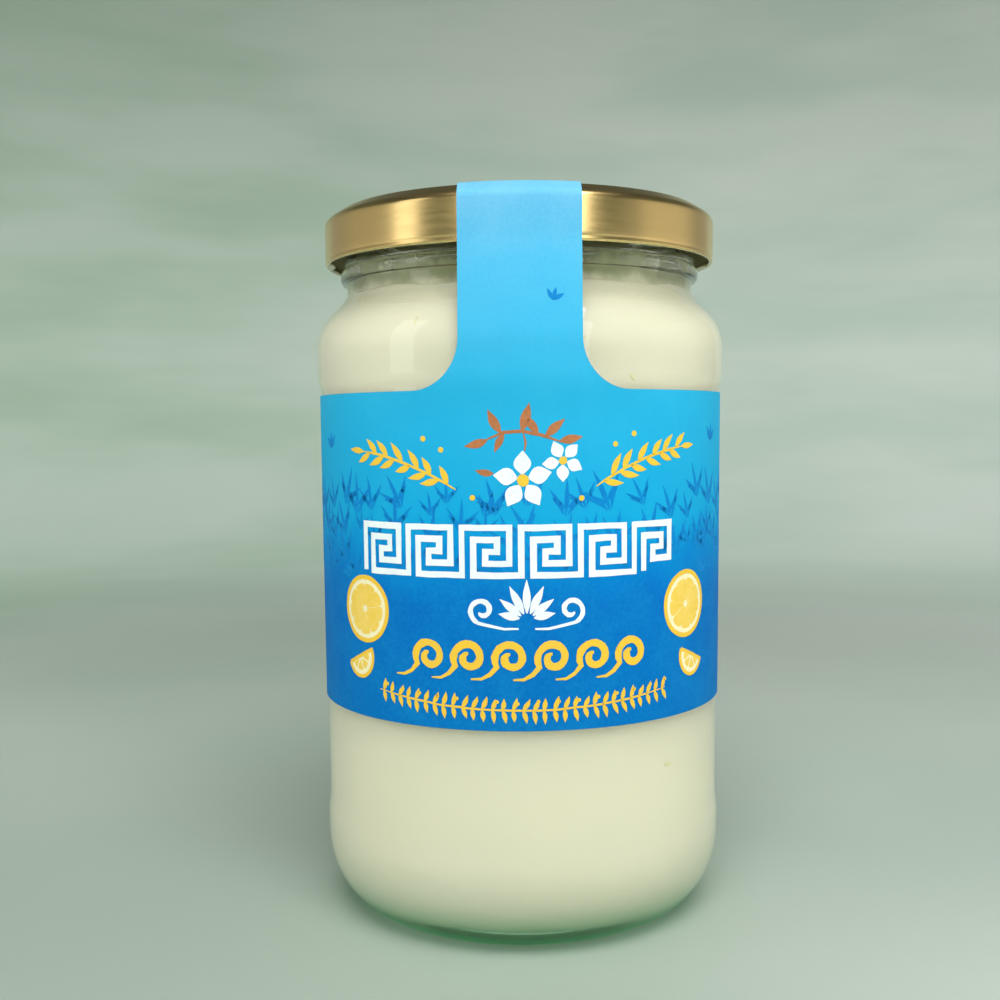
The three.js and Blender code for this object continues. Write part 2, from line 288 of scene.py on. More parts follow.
def round_place(tree):
    """Angle round the axis, distance from it, height, and the direction straight out."""
    place = add_node(tree, "GeometryNodeInputPosition").outputs[0]
    x, y, z = add_node(tree, "ShaderNodeSeparateXYZ", {0: place}).outputs
    level, distance = from_axis(tree, place)
    return maths(tree, "ARCTAN2", y, x), distance, z, vectors(tree, "NORMALIZE", level)


def knurled(tree, shell, bars, depth):
    """Presses shallow grooves between the bars of the ring that the jar stands on."""
    angle, r, z, _ = round_place(tree)
    wave = maths(tree, "COSINE", maths(tree, "MULTIPLY", angle, bars))
    groove = maths(tree, "MULTIPLY_ADD", wave, -0.5, 0.5)
    inside = ramp(tree, r, *KNURL_FADE_IN_R)
    outside = ramp(tree, r, *KNURL_FADE_OUT_R, 1.0, 0.0)
    under = ramp(tree, z, *KNURL_TOP_Z, 1.0, 0.0)
    share = product(tree, inside, outside, under)
    return moved(tree, shell, upward(tree, product(tree, groove, depth, share)))


def threaded(tree, shell, count, height):
    """Raises short sloping threads on the outside of the mouth."""
    angle, r, z, away = round_place(tree)
    turn = maths(tree, "FRACT", maths(tree, "MULTIPLY", angle, maths(tree, "DIVIDE", count, math.tau)))
    along = maths(tree, "DIVIDE", turn, THREAD_SHARE)
    middle_z = maths(tree, "MULTIPLY_ADD", along, THREAD_RISE, THREAD_LOW_Z)
    off = maths(tree, "ABSOLUTE", maths(tree, "SUBTRACT", z, middle_z))
    crown = ramp(tree, off, *THREAD_CROWN, 1.0, 0.0)
    start = ramp(tree, along, 0.0, 0.1)
    end = ramp(tree, along, 0.9, 1.0, 1.0, 0.0)
    outside = ramp(tree, r, FINISH_R - 0.4 * MM, FINISH_R - 0.2 * MM)
    share = product(tree, start, end, crown, outside)
    return moved(tree, shell, scaled(tree, away, product(tree, share, height)))


def jar_tree():
    """The jar's shell, with its knurled ring and its threads."""
    sizes = {"Steps": "Int", "Bars": "Int", "Bar Depth": "Float", "Threads": "Int",
             "Thread Height": "Float", "Material": "Material"}
    tree, given = new_tree("jar shell", sizes)
    shell = swept(tree, given["Geometry"], given["Steps"])
    shell = knurled(tree, shell, given["Bars"], given["Bar Depth"])
    shell = threaded(tree, shell, given["Threads"], given["Thread Height"])
    end_tree(tree, shell, given["Material"])
    return tree


def grown(name, base, tree, sizes):
    """Runs a tree on a base mesh and keeps the result as a plain closed mesh, faces outward."""
    piece = bpy.data.objects.new(name, base)
    bpy.context.scene.collection.objects.link(piece)
    modifier = piece.modifiers.new("Shape", "NODES")
    modifier.node_group = tree
    for item in tree.interface.items_tree:
        if item.in_out == "INPUT" and item.name in sizes:
            modifier[item.identifier] = sizes[item.name]
    bpy.context.view_layer.update()
    shown = piece.evaluated_get(bpy.context.evaluated_depsgraph_get())
    made = bpy.data.meshes.new_from_object(shown)
    made.name = name
    piece.modifiers.clear()
    piece.data = made
    face_outward(made)
    return piece


def face_outward(mesh):
    """Turns every face of a closed mesh outward."""
    editing = bmesh.new()
    editing.from_mesh(mesh)
    bmesh.ops.recalc_face_normals(editing, faces=editing.faces)
    editing.to_mesh(mesh)
    editing.free()


def new_material(name, **values):
    """A material with one Principled shader, its sockets set by name."""
    material = bpy.data.materials.new(name)
    material.use_nodes = True
    shader = material.node_tree.nodes["Principled BSDF"]
    for label, value in values.items():
        shader.inputs[label.replace("_", " ")].default_value = value
    return material, material.node_tree, shader


def object_place(tree):
    """The shaded point in the object's own coordinates: x, y, z and distance from the jar's axis."""
    place = add_node(tree, "ShaderNodeTexCoord").outputs["Object"]
    x, y, z = add_node(tree, "ShaderNodeSeparateXYZ", {0: place}).outputs
    return x, y, z, from_axis(tree, place)[1]


def speckle(tree, scale, detail=2.0, stretch=(1, 1, 1)):
    """Soft noise from 0 to 1 on the object's own coordinates."""
    place = add_node(tree, "ShaderNodeTexCoord").outputs["Object"]
    mapped = add_node(tree, "ShaderNodeMapping", {"Vector": place, "Scale": stretch}).outputs[0]
    inputs = {"Vector": mapped, "Scale": scale, "Detail": detail}
    return add_node(tree, "ShaderNodeTexNoise", inputs).outputs["Fac"]


def blended(tree, share, first, second):
    """A colour between two colours."""
    inputs = {"Factor": share, 6: first, 7: second}
    return add_node(tree, "ShaderNodeMix", inputs, data_type="RGBA").outputs[2]


def glass_material():
    """Clear soda glass, green where light travels far through it. Its foot is painted pale as a painted
    highlight, and the thick base and foot carry a faint painted glow.
    """
    material, tree, shader = new_material(
        "clear glass", Roughness=0.015, IOR=1.52, Transmission_Weight=1.0
    )
    _, _, z, _ = object_place(tree)
    thick = ramp(tree, z, *GREEN_Z, 1.0, 0.0)
    # Painted highlight: the foot below about 1 mm is painted pale, standing for the lit contact ring.
    painted_lit_foot = ramp(tree, z, *PAINTED_LIT_FOOT_Z, 1.0, 0.0)
    green = blended(tree, thick, (0.975, 0.995, 0.95, 1), (0.07, 0.46, 0.20, 1))
    colour = blended(tree, painted_lit_foot, green, (0.50, 0.66, 0.55, 1))
    # Painted glow: the thick base below about 4 mm emits faint green and the foot a pale glow, standing for
    # light carried in the glass.
    painted_glow_share = product(tree, ramp(tree, z, *PAINTED_GLOW_Z, 1.0, 0.0), ramp(tree, painted_lit_foot, 1.0, 0.0))
    pale = blended(tree, painted_lit_foot, (0.0, 0.0, 0.0, 1), (0.09, 0.13, 0.10, 1))
    painted_glow = blended(tree, painted_glow_share, pale, (0.0, 0.038, 0.011, 1))
    tree.links.new(painted_glow, shader.inputs["Emission Color"])
    shader.inputs["Emission Strength"].default_value = 1.0
    tree.links.new(colour, shader.inputs["Base Color"])
    tint = add_node(tree, "ShaderNodeVolumeAbsorption", {"Color": (0.3, 0.85, 0.5, 1), "Density": 5.0})
    tree.links.new(tint.outputs[0], tree.nodes["Material Output"].inputs["Volume"])
    return material


jar = grown("jar_shell", profile_mesh("jar half section", jar_profile()), jar_tree(), {
    "Steps": JAR_STEPS,
    "Bars": KNURL_BARS,
    "Bar Depth": KNURL_DEPTH,
    "Threads": THREADS,
    "Thread Height": THREAD_HEIGHT,
    "Material": glass_material(),
})
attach(jar, "root")
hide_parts("glass_jar")

# Yoghurt
# Set lemon yoghurt, poured in and chilled in the jar, pale cream with a hint of yellow. It wets the
# glass all round, and its upper edge is a little uneven where it was shaken up the neck.
FILL_Z = 134.0 * MM
FILL_REACH = 0.15 * MM
FILL_STEPS = 180
FILL_SWING = 0.8 * MM


def fill_profile():
    """Half section of the yoghurt, a hair into the glass all round."""
    edge_r = INNER_NECK_R + FILL_REACH
    wall_r = INNER_R + FILL_REACH
    wall = [point for point in inner_shoulder(-FILL_REACH) if point[1] < FILL_Z - 0.3 * MM]
    return [
        *dome(FLOOR_MIDDLE_Z - FILL_REACH, FLOOR_R, FLOOR_EDGE_Z - FILL_REACH, 10),
        *inner_heel(-FILL_REACH),
        *straight((wall_r, INNER_HEEL_TOP_Z), (wall_r, INNER_SHOULDER_Z[0]), 40),
        *wall,
        (edge_r, FILL_Z),
        *arc(edge_r, FILL_Z - 0.35 * MM, 1.6 * MM, 0.35 * MM, 100, 180, 6),
        *straight((edge_r - 2.2 * MM, FILL_Z - 0.4 * MM), (0.0, FILL_Z - 0.35 * MM), 14),
    ]


def fill_tree():
    """The yoghurt's body, with an uneven upper edge."""
    tree, given = new_tree("yoghurt body", {"Steps": "Int", "Swing": "Float", "Material": "Material"})
    body = swept(tree, given["Geometry"], given["Steps"])
    _, _, z, _ = round_place(tree)
    noise = add_node(tree, "ShaderNodeTexNoise", {"Scale": 70.0, "Detail": 2.0}).outputs["Fac"]
    lift = product(tree, maths(tree, "SUBTRACT", noise, 0.45), given["Swing"], 4.0)
    top = ramp(tree, z, FILL_Z - 3 * MM, FILL_Z - 0.4 * MM)
    uneven = moved(tree, body, upward(tree, product(tree, lift, top)))
    end_tree(tree, uneven, given["Material"])
    return tree


def yoghurt_material():
    """Smooth cream, faintly grainy, whose colour drifts softly from place to place."""
    material, tree, shader = new_material("lemon yoghurt", Roughness=0.42)
    colour = blended(tree, speckle(tree, 55.0, 1.0), (0.995, 0.965, 0.80, 1), (0.99, 0.955, 0.76, 1))
    tree.links.new(colour, shader.inputs["Base Color"])
    bump = add_node(tree, "ShaderNodeBump", {"Strength": 0.3, "Distance": 0.1 * MM})
    tree.links.new(speckle(tree, 700.0, 0.0), bump.inputs["Height"])
    tree.links.new(bump.outputs[0], shader.inputs["Normal"])
    return material


fill = grown("yoghurt_fill", profile_mesh("yoghurt half section", fill_profile()), fill_tree(), {
    "Steps": FILL_STEPS,
    "Swing": FILL_SWING,
    "Material": yoghurt_material(),
})
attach(fill, "root")
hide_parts("yogurt")

# Yoghurt smear
# The thin film that the yoghurt leaves on the inside of the neck where the jar was tipped. It is thick
# and white by the filling and fades unevenly to nothing above, its colour darkening to olive as painted
# shade under the lid.
SMEAR_Z = (132.8 * MM, 141.5 * MM)
SMEAR_WALL = 0.2 * MM
SMEAR_REACH = 0.05 * MM
SMEAR_UNEVEN = 6.0 * MM
THINNING_AND_SHADE_Z = (136.4 * MM, 139.6 * MM)
COVER_Z = (136.4 * MM, 140.4 * MM)
CLEARING_Z = (141.0 * MM, 143.6 * MM)


def smear_profile():
    """Half section of the film, a hair into the glass, from its foot up and back down."""
    rise = (MOUTH_R - INNER_NECK_R) / (RIM_Z - RIM_HALF_HEIGHT - INNER_SHOULDER_Z[1])
    heights = [SMEAR_Z[0] + (SMEAR_Z[1] - SMEAR_Z[0]) * i / 12 for i in range(13)]
    wall = [(INNER_NECK_R + max(z - INNER_SHOULDER_Z[1], 0.0) * rise, z) for z in heights]
    outer = [(r + SMEAR_REACH, z) for r, z in wall]
    inner = [(r - SMEAR_WALL, z) for r, z in reversed(wall)]
    return [*outer, *inner, outer[0]]


def smear_tree():
    """The film, swept round."""
    tree, given = new_tree("yoghurt film", {"Steps": "Int", "Material": "Material"})
    end_tree(tree, swept(tree, given["Geometry"], given["Steps"]), given["Material"])
    return tree


def smear_material():
    """Yoghurt so thin that the glass shows through it, more and more towards the top, where its colour
    darkens to olive as painted shade under the lid.
    """
    material, tree, shader = new_material("thin yoghurt", Roughness=0.4)
    _, _, z, _ = object_place(tree)
    level = maths(tree, "MULTIPLY_ADD", speckle(tree, 160.0, 4.0, (1, 1, 0.7)), SMEAR_UNEVEN, z)
    # Painted shade: the colour darkens to olive towards the top, where the neck lies in the lid's shade, on
    # top of the real thinning.
    thin = ramp(tree, level, *THINNING_AND_SHADE_Z)
    colour = blended(tree, thin, (0.93, 0.91, 0.70, 1), (0.51, 0.55, 0.31, 1))
    tree.links.new(colour, shader.inputs["Base Color"])
    cover = product(tree, ramp(tree, level, *COVER_Z, 0.92, 0.65), ramp(tree, level, *CLEARING_Z, 1.0, 0.0))
    tree.links.new(cover, shader.inputs["Alpha"])
    return material


smear = grown("yoghurt_smear", profile_mesh("film half section", smear_profile()), smear_tree(), {
    "Steps": FILL_STEPS,
    "Material": smear_material(),
})
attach(smear, "root")

# Zest flecks
# Fine shreds of lemon zest stirred through the yoghurt. The ones that lie against the glass show as
# faint yellow flecks.
FLECK_DENSITY = 1300.0
FLECK_SIZE = (0.9 * MM, 0.4 * MM, 0.08 * MM)
FLECK_GRADES = (0.5, 1.3)
FLECKS_FROM_R = 36.0 * MM
FLECKS_TOP_Z = 131.0 * MM
FLECK_SEED = 7


def fleck_tree():
    """Scatters flat shreds over the upright wall of the yoghurt."""
    sizes = {"Density": "Float", "Fleck Size": "Vector", "Seed": "Int", "Material": "Material"}
    tree, given = new_tree("zest flecks", sizes)
    _, r, z, _ = round_place(tree)
    below_neck = maths(tree, "LESS_THAN", z, FLECKS_TOP_Z)
    wall = product(tree, maths(tree, "GREATER_THAN", r, FLECKS_FROM_R), below_neck)
    scatter = add_node(tree, "GeometryNodeDistributePointsOnFaces", {
        "Mesh": given["Geometry"], "Selection": wall, "Density": given["Density"], "Seed": given["Seed"],
    })
    shred = add_node(tree, "GeometryNodeMeshIcoSphere", {"Radius": 1.0, "Subdivisions": 2}).outputs[0]
    turn = random_number(tree, 0.0, math.pi, given["Seed"])
    turned = add_node(tree, "FunctionNodeRotateRotation", rotation_space="LOCAL")
    spin = add_node(tree, "FunctionNodeAxisAngleToRotation", {"Axis": (0, 0, 1), "Angle": turn})
    tree.links.new(scatter.outputs["Rotation"], turned.inputs["Rotation"])
    tree.links.new(spin.outputs[0], turned.inputs["Rotate By"])
    share = random_number(tree, *FLECK_GRADES, given["Seed"])
    placed = add_node(tree, "GeometryNodeInstanceOnPoints", {
        "Points": scatter.outputs["Points"], "Instance": shred, "Rotation": turned.outputs[0],
        "Scale": scaled(tree, given["Fleck Size"], share),
    })
    end_tree(tree, placed.outputs[0], given["Material"])
    return tree


def zest_material():
    """Pale wet lemon peel."""
    material, tree, shader = new_material("lemon zest", Roughness=0.4)
    colour = blended(tree, speckle(tree, 900.0), (0.97, 0.94, 0.65, 1), (0.94, 0.89, 0.55, 1))
    tree.links.new(colour, shader.inputs["Base Color"])
    return material


flecks = grown("zest_flecks", fill.data.copy(), fleck_tree(), {
    "Density": FLECK_DENSITY,
    "Fleck Size": FLECK_SIZE,
    "Seed": FLECK_SEED,
    "Material": zest_material(),
})
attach(flecks, "root")

# Lid
# Twist-off cap pressed from thin tinplate under a satin gold lacquer. Its foot is rolled inward and
# pinched into six lugs that grip the threads, and a ring stands up round the flat middle.
lid_low, lid_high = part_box("lid")
LID_R = lid_high.x
LID_FOOT_Z = lid_low.z
LID_TOP_Z = lid_high.z
LID_WALL = 0.5 * MM
CURL_R = 0.45 * MM
CORNER_R = 1.9 * MM
CORNER_Z = 149.0 * MM
CREST_R = 38.8 * MM
CREST_ROUNDING = 1.0 * MM
PANEL_STEP = (37.1 * MM, 151.5 * MM)
PANEL_EDGE_R = 36.2 * MM
LID_PANEL_Z = 151.25 * MM
LINER_Z = 150.7 * MM
BUTTON_R = 11.0 * MM
BUTTON_RISE = 0.35 * MM
FOOT_GROOVE = 0.14 * MM
LID_STEPS = 288
LUGS = 6
LUG_REACH = 1.1 * MM
LUG_HALF_ARC = math.radians(7)
LUG_TURN = math.radians(6)


def lid_profile():
    """Half section of the cap, from the middle of its underside round to the middle of its top."""
    wall_r = LID_R - LID_WALL
    inner_r = CORNER_R - LID_WALL
    crest_z = LID_TOP_Z - CREST_ROUNDING
    button_z = LID_PANEL_Z + BUTTON_RISE
    return [
        *straight((0.0, LINER_Z), (LID_R - CORNER_R, LINER_Z), 12),
        *arc(wall_r - inner_r, LINER_Z - inner_r, inner_r, inner_r, 90, 0, 6),
        *straight((wall_r, CORNER_Z), (wall_r, LID_FOOT_Z + CURL_R * 2), 6),
        *arc(LID_R - CURL_R, LID_FOOT_Z + CURL_R, CURL_R, CURL_R, 135, 360, 20),
        (LID_R - FOOT_GROOVE, LID_FOOT_Z + CURL_R * 1.9),
        (LID_R - FOOT_GROOVE, LID_FOOT_Z + CURL_R * 2.2),
        *straight((LID_R - 0.04 * MM, LID_FOOT_Z + CURL_R * 2.8), (LID_R, LID_FOOT_Z + CURL_R * 4.2), 3),
        *straight((LID_R, LID_FOOT_Z + CURL_R * 4.2), (LID_R, CORNER_Z), 6),
        *arc(LID_R - CORNER_R, CORNER_Z, CORNER_R, CORNER_R, 0, 60, 12),
        *arc(CREST_R, crest_z, CREST_ROUNDING, CREST_ROUNDING, 60, 120, 12),
        PANEL_STEP,
        (PANEL_EDGE_R, LID_PANEL_Z),
        *straight((PANEL_EDGE_R - 1 * MM, LID_PANEL_Z), (BUTTON_R + 1 * MM, LID_PANEL_Z), 12),
        *bend((BUTTON_R + 0.6 * MM, LID_PANEL_Z), (BUTTON_R, button_z), (0.0, 0.0), 4),
        *straight((BUTTON_R - 0.4 * MM, button_z), (0.0, button_z), 6),
    ]


def lid_tree():
    """The cap's shell, with the lugs pushed in from its rolled foot."""
    sizes = {"Steps": "Int", "Lugs": "Int", "Lug Reach": "Float", "Material": "Material"}
    tree, given = new_tree("cap shell", sizes)
    shell = swept(tree, given["Geometry"], given["Steps"])
    angle, r, z, away = round_place(tree)
    pitch = maths(tree, "DIVIDE", math.tau, given["Lugs"])
    turned = maths(tree, "SUBTRACT", angle, LUG_TURN)
    from_lug = maths(tree, "PINGPONG", turned, maths(tree, "DIVIDE", pitch, 2.0))
    near = ramp(tree, from_lug, LUG_HALF_ARC * 0.4, LUG_HALF_ARC, 1.0, 0.0)
    inner = ramp(tree, r, LID_R - CURL_R * 2, LID_R - CURL_R * 0.5, 1.0, 0.0)
    low = ramp(tree, z, LID_FOOT_Z + CURL_R * 1.7, LID_FOOT_Z + CURL_R * 2.1, 1.0, 0.0)
    push = product(tree, near, inner, low, given["Lug Reach"], -1.0)
    end_tree(tree, moved(tree, shell, scaled(tree, away, push)), given["Material"])
    return tree


def gold_material():
    """Satin gold lacquer with fine lines from rolling round the skirt, and pale enamel inside."""
    material, tree, shader = new_material("gold lacquer", Metallic=1.0, Roughness=0.24)
    gold = blended(tree, speckle(tree, 60.0, 2.0), (0.86, 0.64, 0.275, 1), (0.83, 0.615, 0.255, 1))
    _, _, z, r = object_place(tree)
    out = maths(tree, "MAXIMUM", maths(tree, "SUBTRACT", r, LID_R - CORNER_R), 0.0)
    up = maths(tree, "MAXIMUM", maths(tree, "SUBTRACT", z, CORNER_Z), 0.0)
    squares = maths(tree, "ADD", maths(tree, "POWER", out, 2.0), maths(tree, "POWER", up, 2.0))
    from_corner = maths(tree, "SQRT", squares)
    enamel = maths(tree, "LESS_THAN", from_corner, CORNER_R - LID_WALL * 0.6)
    tree.links.new(blended(tree, enamel, gold, (0.60, 0.585, 0.37, 1)), shader.inputs["Base Color"])
    tree.links.new(maths(tree, "SUBTRACT", 1.0, enamel), shader.inputs["Metallic"])
    rough = ramp(tree, speckle(tree, 120.0, 2.0, (1, 1, 12)), 0.3, 0.7, 0.21, 0.26)
    tree.links.new(rough, shader.inputs["Roughness"])
    lines = add_node(tree, "ShaderNodeBump", {"Strength": 0.2, "Distance": 0.02 * MM})
    tree.links.new(speckle(tree, 40.0, 3.0, (1, 1, 100)), lines.inputs["Height"])
    tree.links.new(lines.outputs[0], shader.inputs["Normal"])
    return material


lid = grown("lid_cap", profile_mesh("cap half section", lid_profile()), lid_tree(), {
    "Steps": LID_STEPS,
    "Lugs": LUGS,
    "Lug Reach": LUG_REACH,
    "Material": gold_material(),
})
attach(lid, "root")
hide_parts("lid")

# Label
# One sheet of matt white paper, printed sky blue above and deeper blue below; the top of the strip is
# lighter still, partly print and partly painted light. It wraps the jar and overlaps itself at the back,
# and its strip runs up the front, over the lid's edge and onto the top.
label_low, label_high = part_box("label")
LABEL_BOTTOM_Z = label_low.z
LABEL_TOP_Z = 113.1 * MM
LABEL_R = 44.1 * MM
PAPER = 0.25 * MM
PAPER_GAP = 0.12 * MM
STRIP_HALF = 11.9 * MM
FILLET_R = 9.9 * MM
STRIP_END_Y = -13.0 * MM
SWELL_FROM_Z = 106.5 * MM
SWELL_FADE = (STRIP_HALF + 8.0 * MM, STRIP_HALF + 20.0 * MM)
OVERLAP = 7.0 * MM
OVERLAP_LIFT = 0.3 * MM
OVERLAP_SLOPE = (4.0 * MM, 0.5 * MM)
FRONT_COLUMNS = 44
SIDE_COLUMNS = 76
WRAP_ROWS = 26
FILLET_ROWS = 16
BRIDGE_ROWS = 10
SKIRT_ROWS = 5
BRIDGE_LEAN = math.radians(3)
PAPER_EDGE_ANGLE = math.radians(50)


def mixed(low, high, share):
    """A number between two numbers."""
    return low + (high - low) * share


def eased(value, start, end):
    """A smooth step from 0 at start to 1 at end."""
    share = min(max((value - start) / (end - start), 0.0), 1.0)
    return share * share * (3 - 2 * share)


def sheet_r(z, across):
    """Radius of the paper's inner face: the front swells softly up to the jar's upper band."""
    swell = eased(z, SWELL_FROM_Z, BUMPER_BOTTOM_Z - PAPER_GAP)
    share = 1.0 - eased(abs(across), *SWELL_FADE)
    return mixed(LABEL_R, BUMPER_R + PAPER_GAP, swell * share)


def strip_rows():
    """Rows of the strip up to the lid's crest: r and z of the inner face, half width, and lean."""
    rows = []
    for i in range(1, FILLET_ROWS + 1):
        rise = FILLET_R * (1 - math.cos(math.pi / 2 * i / FILLET_ROWS))
        side = FILLET_R - math.sqrt(FILLET_R ** 2 - (FILLET_R - rise) ** 2)
        z = LABEL_TOP_Z + rise
        r = sheet_r(z, 0.0)
        rows.append((r, z, STRIP_HALF + side, 0.0))
    shoulder_r, shoulder_z = rows[-1][:2]
    foot_r, foot_z = LID_R + PAPER_GAP, LID_FOOT_Z + CURL_R
    for i in range(1, BRIDGE_ROWS + 1):
        way = i / BRIDGE_ROWS
        r = mixed(shoulder_r, foot_r, way)
        rows.append((r, mixed(shoulder_z, foot_z, way), STRIP_HALF, BRIDGE_LEAN))
    for i in range(1, SKIRT_ROWS):
        rows.append((foot_r, mixed(foot_z, CORNER_Z, i / SKIRT_ROWS), STRIP_HALF, 0.0))
    corner = arc(LID_R - CORNER_R, CORNER_Z, CORNER_R + PAPER_GAP, CORNER_R + PAPER_GAP, 0, 60, 10)
    rounding = CREST_ROUNDING + PAPER_GAP
    crest = arc(CREST_R, LID_TOP_Z - CREST_ROUNDING, rounding, rounding, 60, 80, 4)
    rows += [(r, z, STRIP_HALF, math.radians(6 * i)) for i, (r, z) in enumerate(corner)]
    rows += [(r, z, STRIP_HALF, math.radians(60 + 5 * i)) for i, (r, z) in enumerate(crest)]
    return rows


def height_over_lid(r):
    """Height of the paper's inner face over the lid, inside the crest."""
    rise = eased(r, PANEL_EDGE_R, CREST_R) * (LID_TOP_Z - LID_PANEL_Z)
    step = eased(r, PANEL_EDGE_R - 1 * MM, PANEL_STEP[0]) * (PANEL_STEP[1] - LID_PANEL_Z)
    return LID_PANEL_Z + PAPER_GAP + max(rise, step)


def wrap_columns():
    """Distances across the sheet, from its end at the back round the front to its overlapping end."""
    half_round = math.pi * LABEL_R
    front_half = STRIP_HALF + FILLET_R
    left = [mixed(-half_round, -front_half, i / SIDE_COLUMNS) for i in range(SIDE_COLUMNS)]
    front = [mixed(-front_half, front_half, i / FRONT_COLUMNS) for i in range(FRONT_COLUMNS)]
    right = [mixed(front_half, half_round + OVERLAP, i / SIDE_COLUMNS) for i in range(SIDE_COLUMNS + 1)]
    return left + front + right


def label_mesh():
    """The sheet's two faces and the narrow wall round its edge."""
    inner = []
    outer = []
    quads = []

    def add_point(place, direction):
        inner.append(place)
        outer.append(place + direction * PAPER)
        return len(inner) - 1

    def add_round(r, z, across, lean=0.0):
        angle = across / LABEL_R
        away = Vector((math.sin(angle), -math.cos(angle), 0))
        facing = away * math.cos(lean) + Vector((0, 0, math.sin(lean)))
        return add_point(away * r + Vector((0, 0, z)), facing)

    def join(below, above):
        for i in range(len(below) - 1):
            quads.append((below[i], below[i + 1], above[i + 1], above[i]))

    columns = wrap_columns()
    half_round = math.pi * LABEL_R
    below = None
    for i in range(WRAP_ROWS + 1):
        z = mixed(LABEL_BOTTOM_Z, LABEL_TOP_Z, i / WRAP_ROWS)
        row = []
        for across in columns:
            rise = eased(across, half_round - OVERLAP_SLOPE[0], half_round - OVERLAP_SLOPE[1])
            lift = OVERLAP_LIFT * rise
            row.append(add_round(sheet_r(z, across) + lift, z, across))
        if below:
            join(below, row)
        below = row
    below = below[SIDE_COLUMNS:SIDE_COLUMNS + FRONT_COLUMNS + 1]
    for r, z, half, lean in strip_rows():
        row = []
        for i in range(FRONT_COLUMNS + 1):
            across = half * (2 * i / FRONT_COLUMNS - 1)
            row.append(add_round(r, z, across * LABEL_R / r, lean))
        join(below, row)
        below = row
    crest = [inner[i].copy() for i in below]
    for way in [0.01 * k for k in range(1, 17)] + [mixed(0.16, 1.0, k / 12) for k in range(1, 13)]:
        row = []
        for start in crest:
            place = Vector((start.x, mixed(start.y, STRIP_END_Y, way), 0))
            place.z = height_over_lid(place.length)
            row.append(add_point(place, Vector((0, 0, 1))))
        join(below, row)
        below = row

    count = len(inner)
    edges = {}
    for quad in quads:
        for start, end in zip(quad, quad[1:] + quad[:1]):
            if (end, start) in edges:
                del edges[end, start]
            else:
                edges[start, end] = True
    walls = [(start, end, end + count, start + count) for start, end in edges]
    printed = [tuple(i + count for i in quad) for quad in quads]
    mesh = bpy.data.meshes.new("label_sheet")
    mesh.from_pydata(inner + outer, [], printed + quads + walls)
    mesh.polygons.foreach_set("material_index", [0] * len(printed) + [1] * (len(quads) + len(walls)))
    mesh.shade_smooth()
    face_outward(mesh)
    mesh.set_sharp_from_angle(angle=PAPER_EDGE_ANGLE)
    return mesh


def paper_finish(tree, shader):
    """The fibres and slight cockling of uncoated paper."""
    fibres = add_node(tree, "ShaderNodeBump", {"Strength": 0.25, "Distance": 0.04 * MM})
    tree.links.new(speckle(tree, 2600.0, 3.0), fibres.inputs["Height"])
    cockles = add_node(tree, "ShaderNodeBump", {"Strength": 0.3, "Distance": 0.3 * MM})
    tree.links.new(speckle(tree, 45.0, 2.0), cockles.inputs["Height"])
    tree.links.new(fibres.outputs[0], cockles.inputs["Normal"])
    tree.links.new(cockles.outputs[0], shader.inputs["Normal"])


def printed_paper():
    """Blue print that deepens from sky to dark down the label, brushed unevenly and finely mottled. The
    lightest blue at the top of the strip is partly print and partly painted light from above.
    """
    material, tree, shader = new_material("printed label paper", Roughness=0.6, Specular_IOR_Level=0.05)
    _, _, z, _ = object_place(tree)
    streaks = maths(tree, "MULTIPLY_ADD", speckle(tree, 110.0, 4.0, (1, 1, 0.5)), 12 * MM, -6 * MM)
    level = maths(tree, "ADD", z, streaks)
    height = add_node(tree, "ShaderNodeMapRange", {
        "Value": level, "From Min": LABEL_BOTTOM_Z, "From Max": label_high.z,
    }).outputs[0]
    colours = add_node(tree, "ShaderNodeValToRGB", {"Fac": height})
    stops = colours.color_ramp.elements
    stops[0].position, stops[0].color = 0.0, (0.0, 0.125, 0.40, 1)
    # The top stop, over the lid, is partly print and partly painted light from above.
    stops[1].position, stops[1].color = 1.0, (0.15, 0.44, 0.66, 1)
    for position, colour in (
        (0.24, (0.0, 0.118, 0.42, 1)),
        (0.32, (0.0, 0.19, 0.50, 1)),
        (0.39, (0.005, 0.31, 0.57, 1)),
        (0.62, (0.02, 0.37, 0.61, 1)),
        (0.85, (0.075, 0.40, 0.635, 1)),
    ):
        stops.new(position).color = colour
    grain = ramp(tree, speckle(tree, 1500.0, 3.0), 0.3, 0.75, 0.0, 0.16)
    drift = ramp(tree, speckle(tree, 140.0, 3.0), 0.35, 0.7, 0.0, 0.12)
    mottle = maths(tree, "ADD", grain, drift)
    colour = blended(tree, mottle, colours.outputs[0], (0.01, 0.30, 0.56, 1))
    tree.links.new(colour, shader.inputs["Base Color"])
    paper_finish(tree, shader)
    return material


def bare_paper():
    """The unprinted back and cut edge of the sheet."""
    material, tree, shader = new_material("bare label paper", Roughness=0.7)
    colour = blended(tree, speckle(tree, 1800.0), (0.86, 0.87, 0.85, 1), (0.78, 0.80, 0.79, 1))
    tree.links.new(colour, shader.inputs["Base Color"])
    paper_finish(tree, shader)
    return material


label = bpy.data.objects.new("label_sheet", label_mesh())
bpy.context.scene.collection.objects.link(label)
label.data.materials.append(printed_paper())
label.data.materials.append(bare_paper())
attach(label, "root")
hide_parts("label")

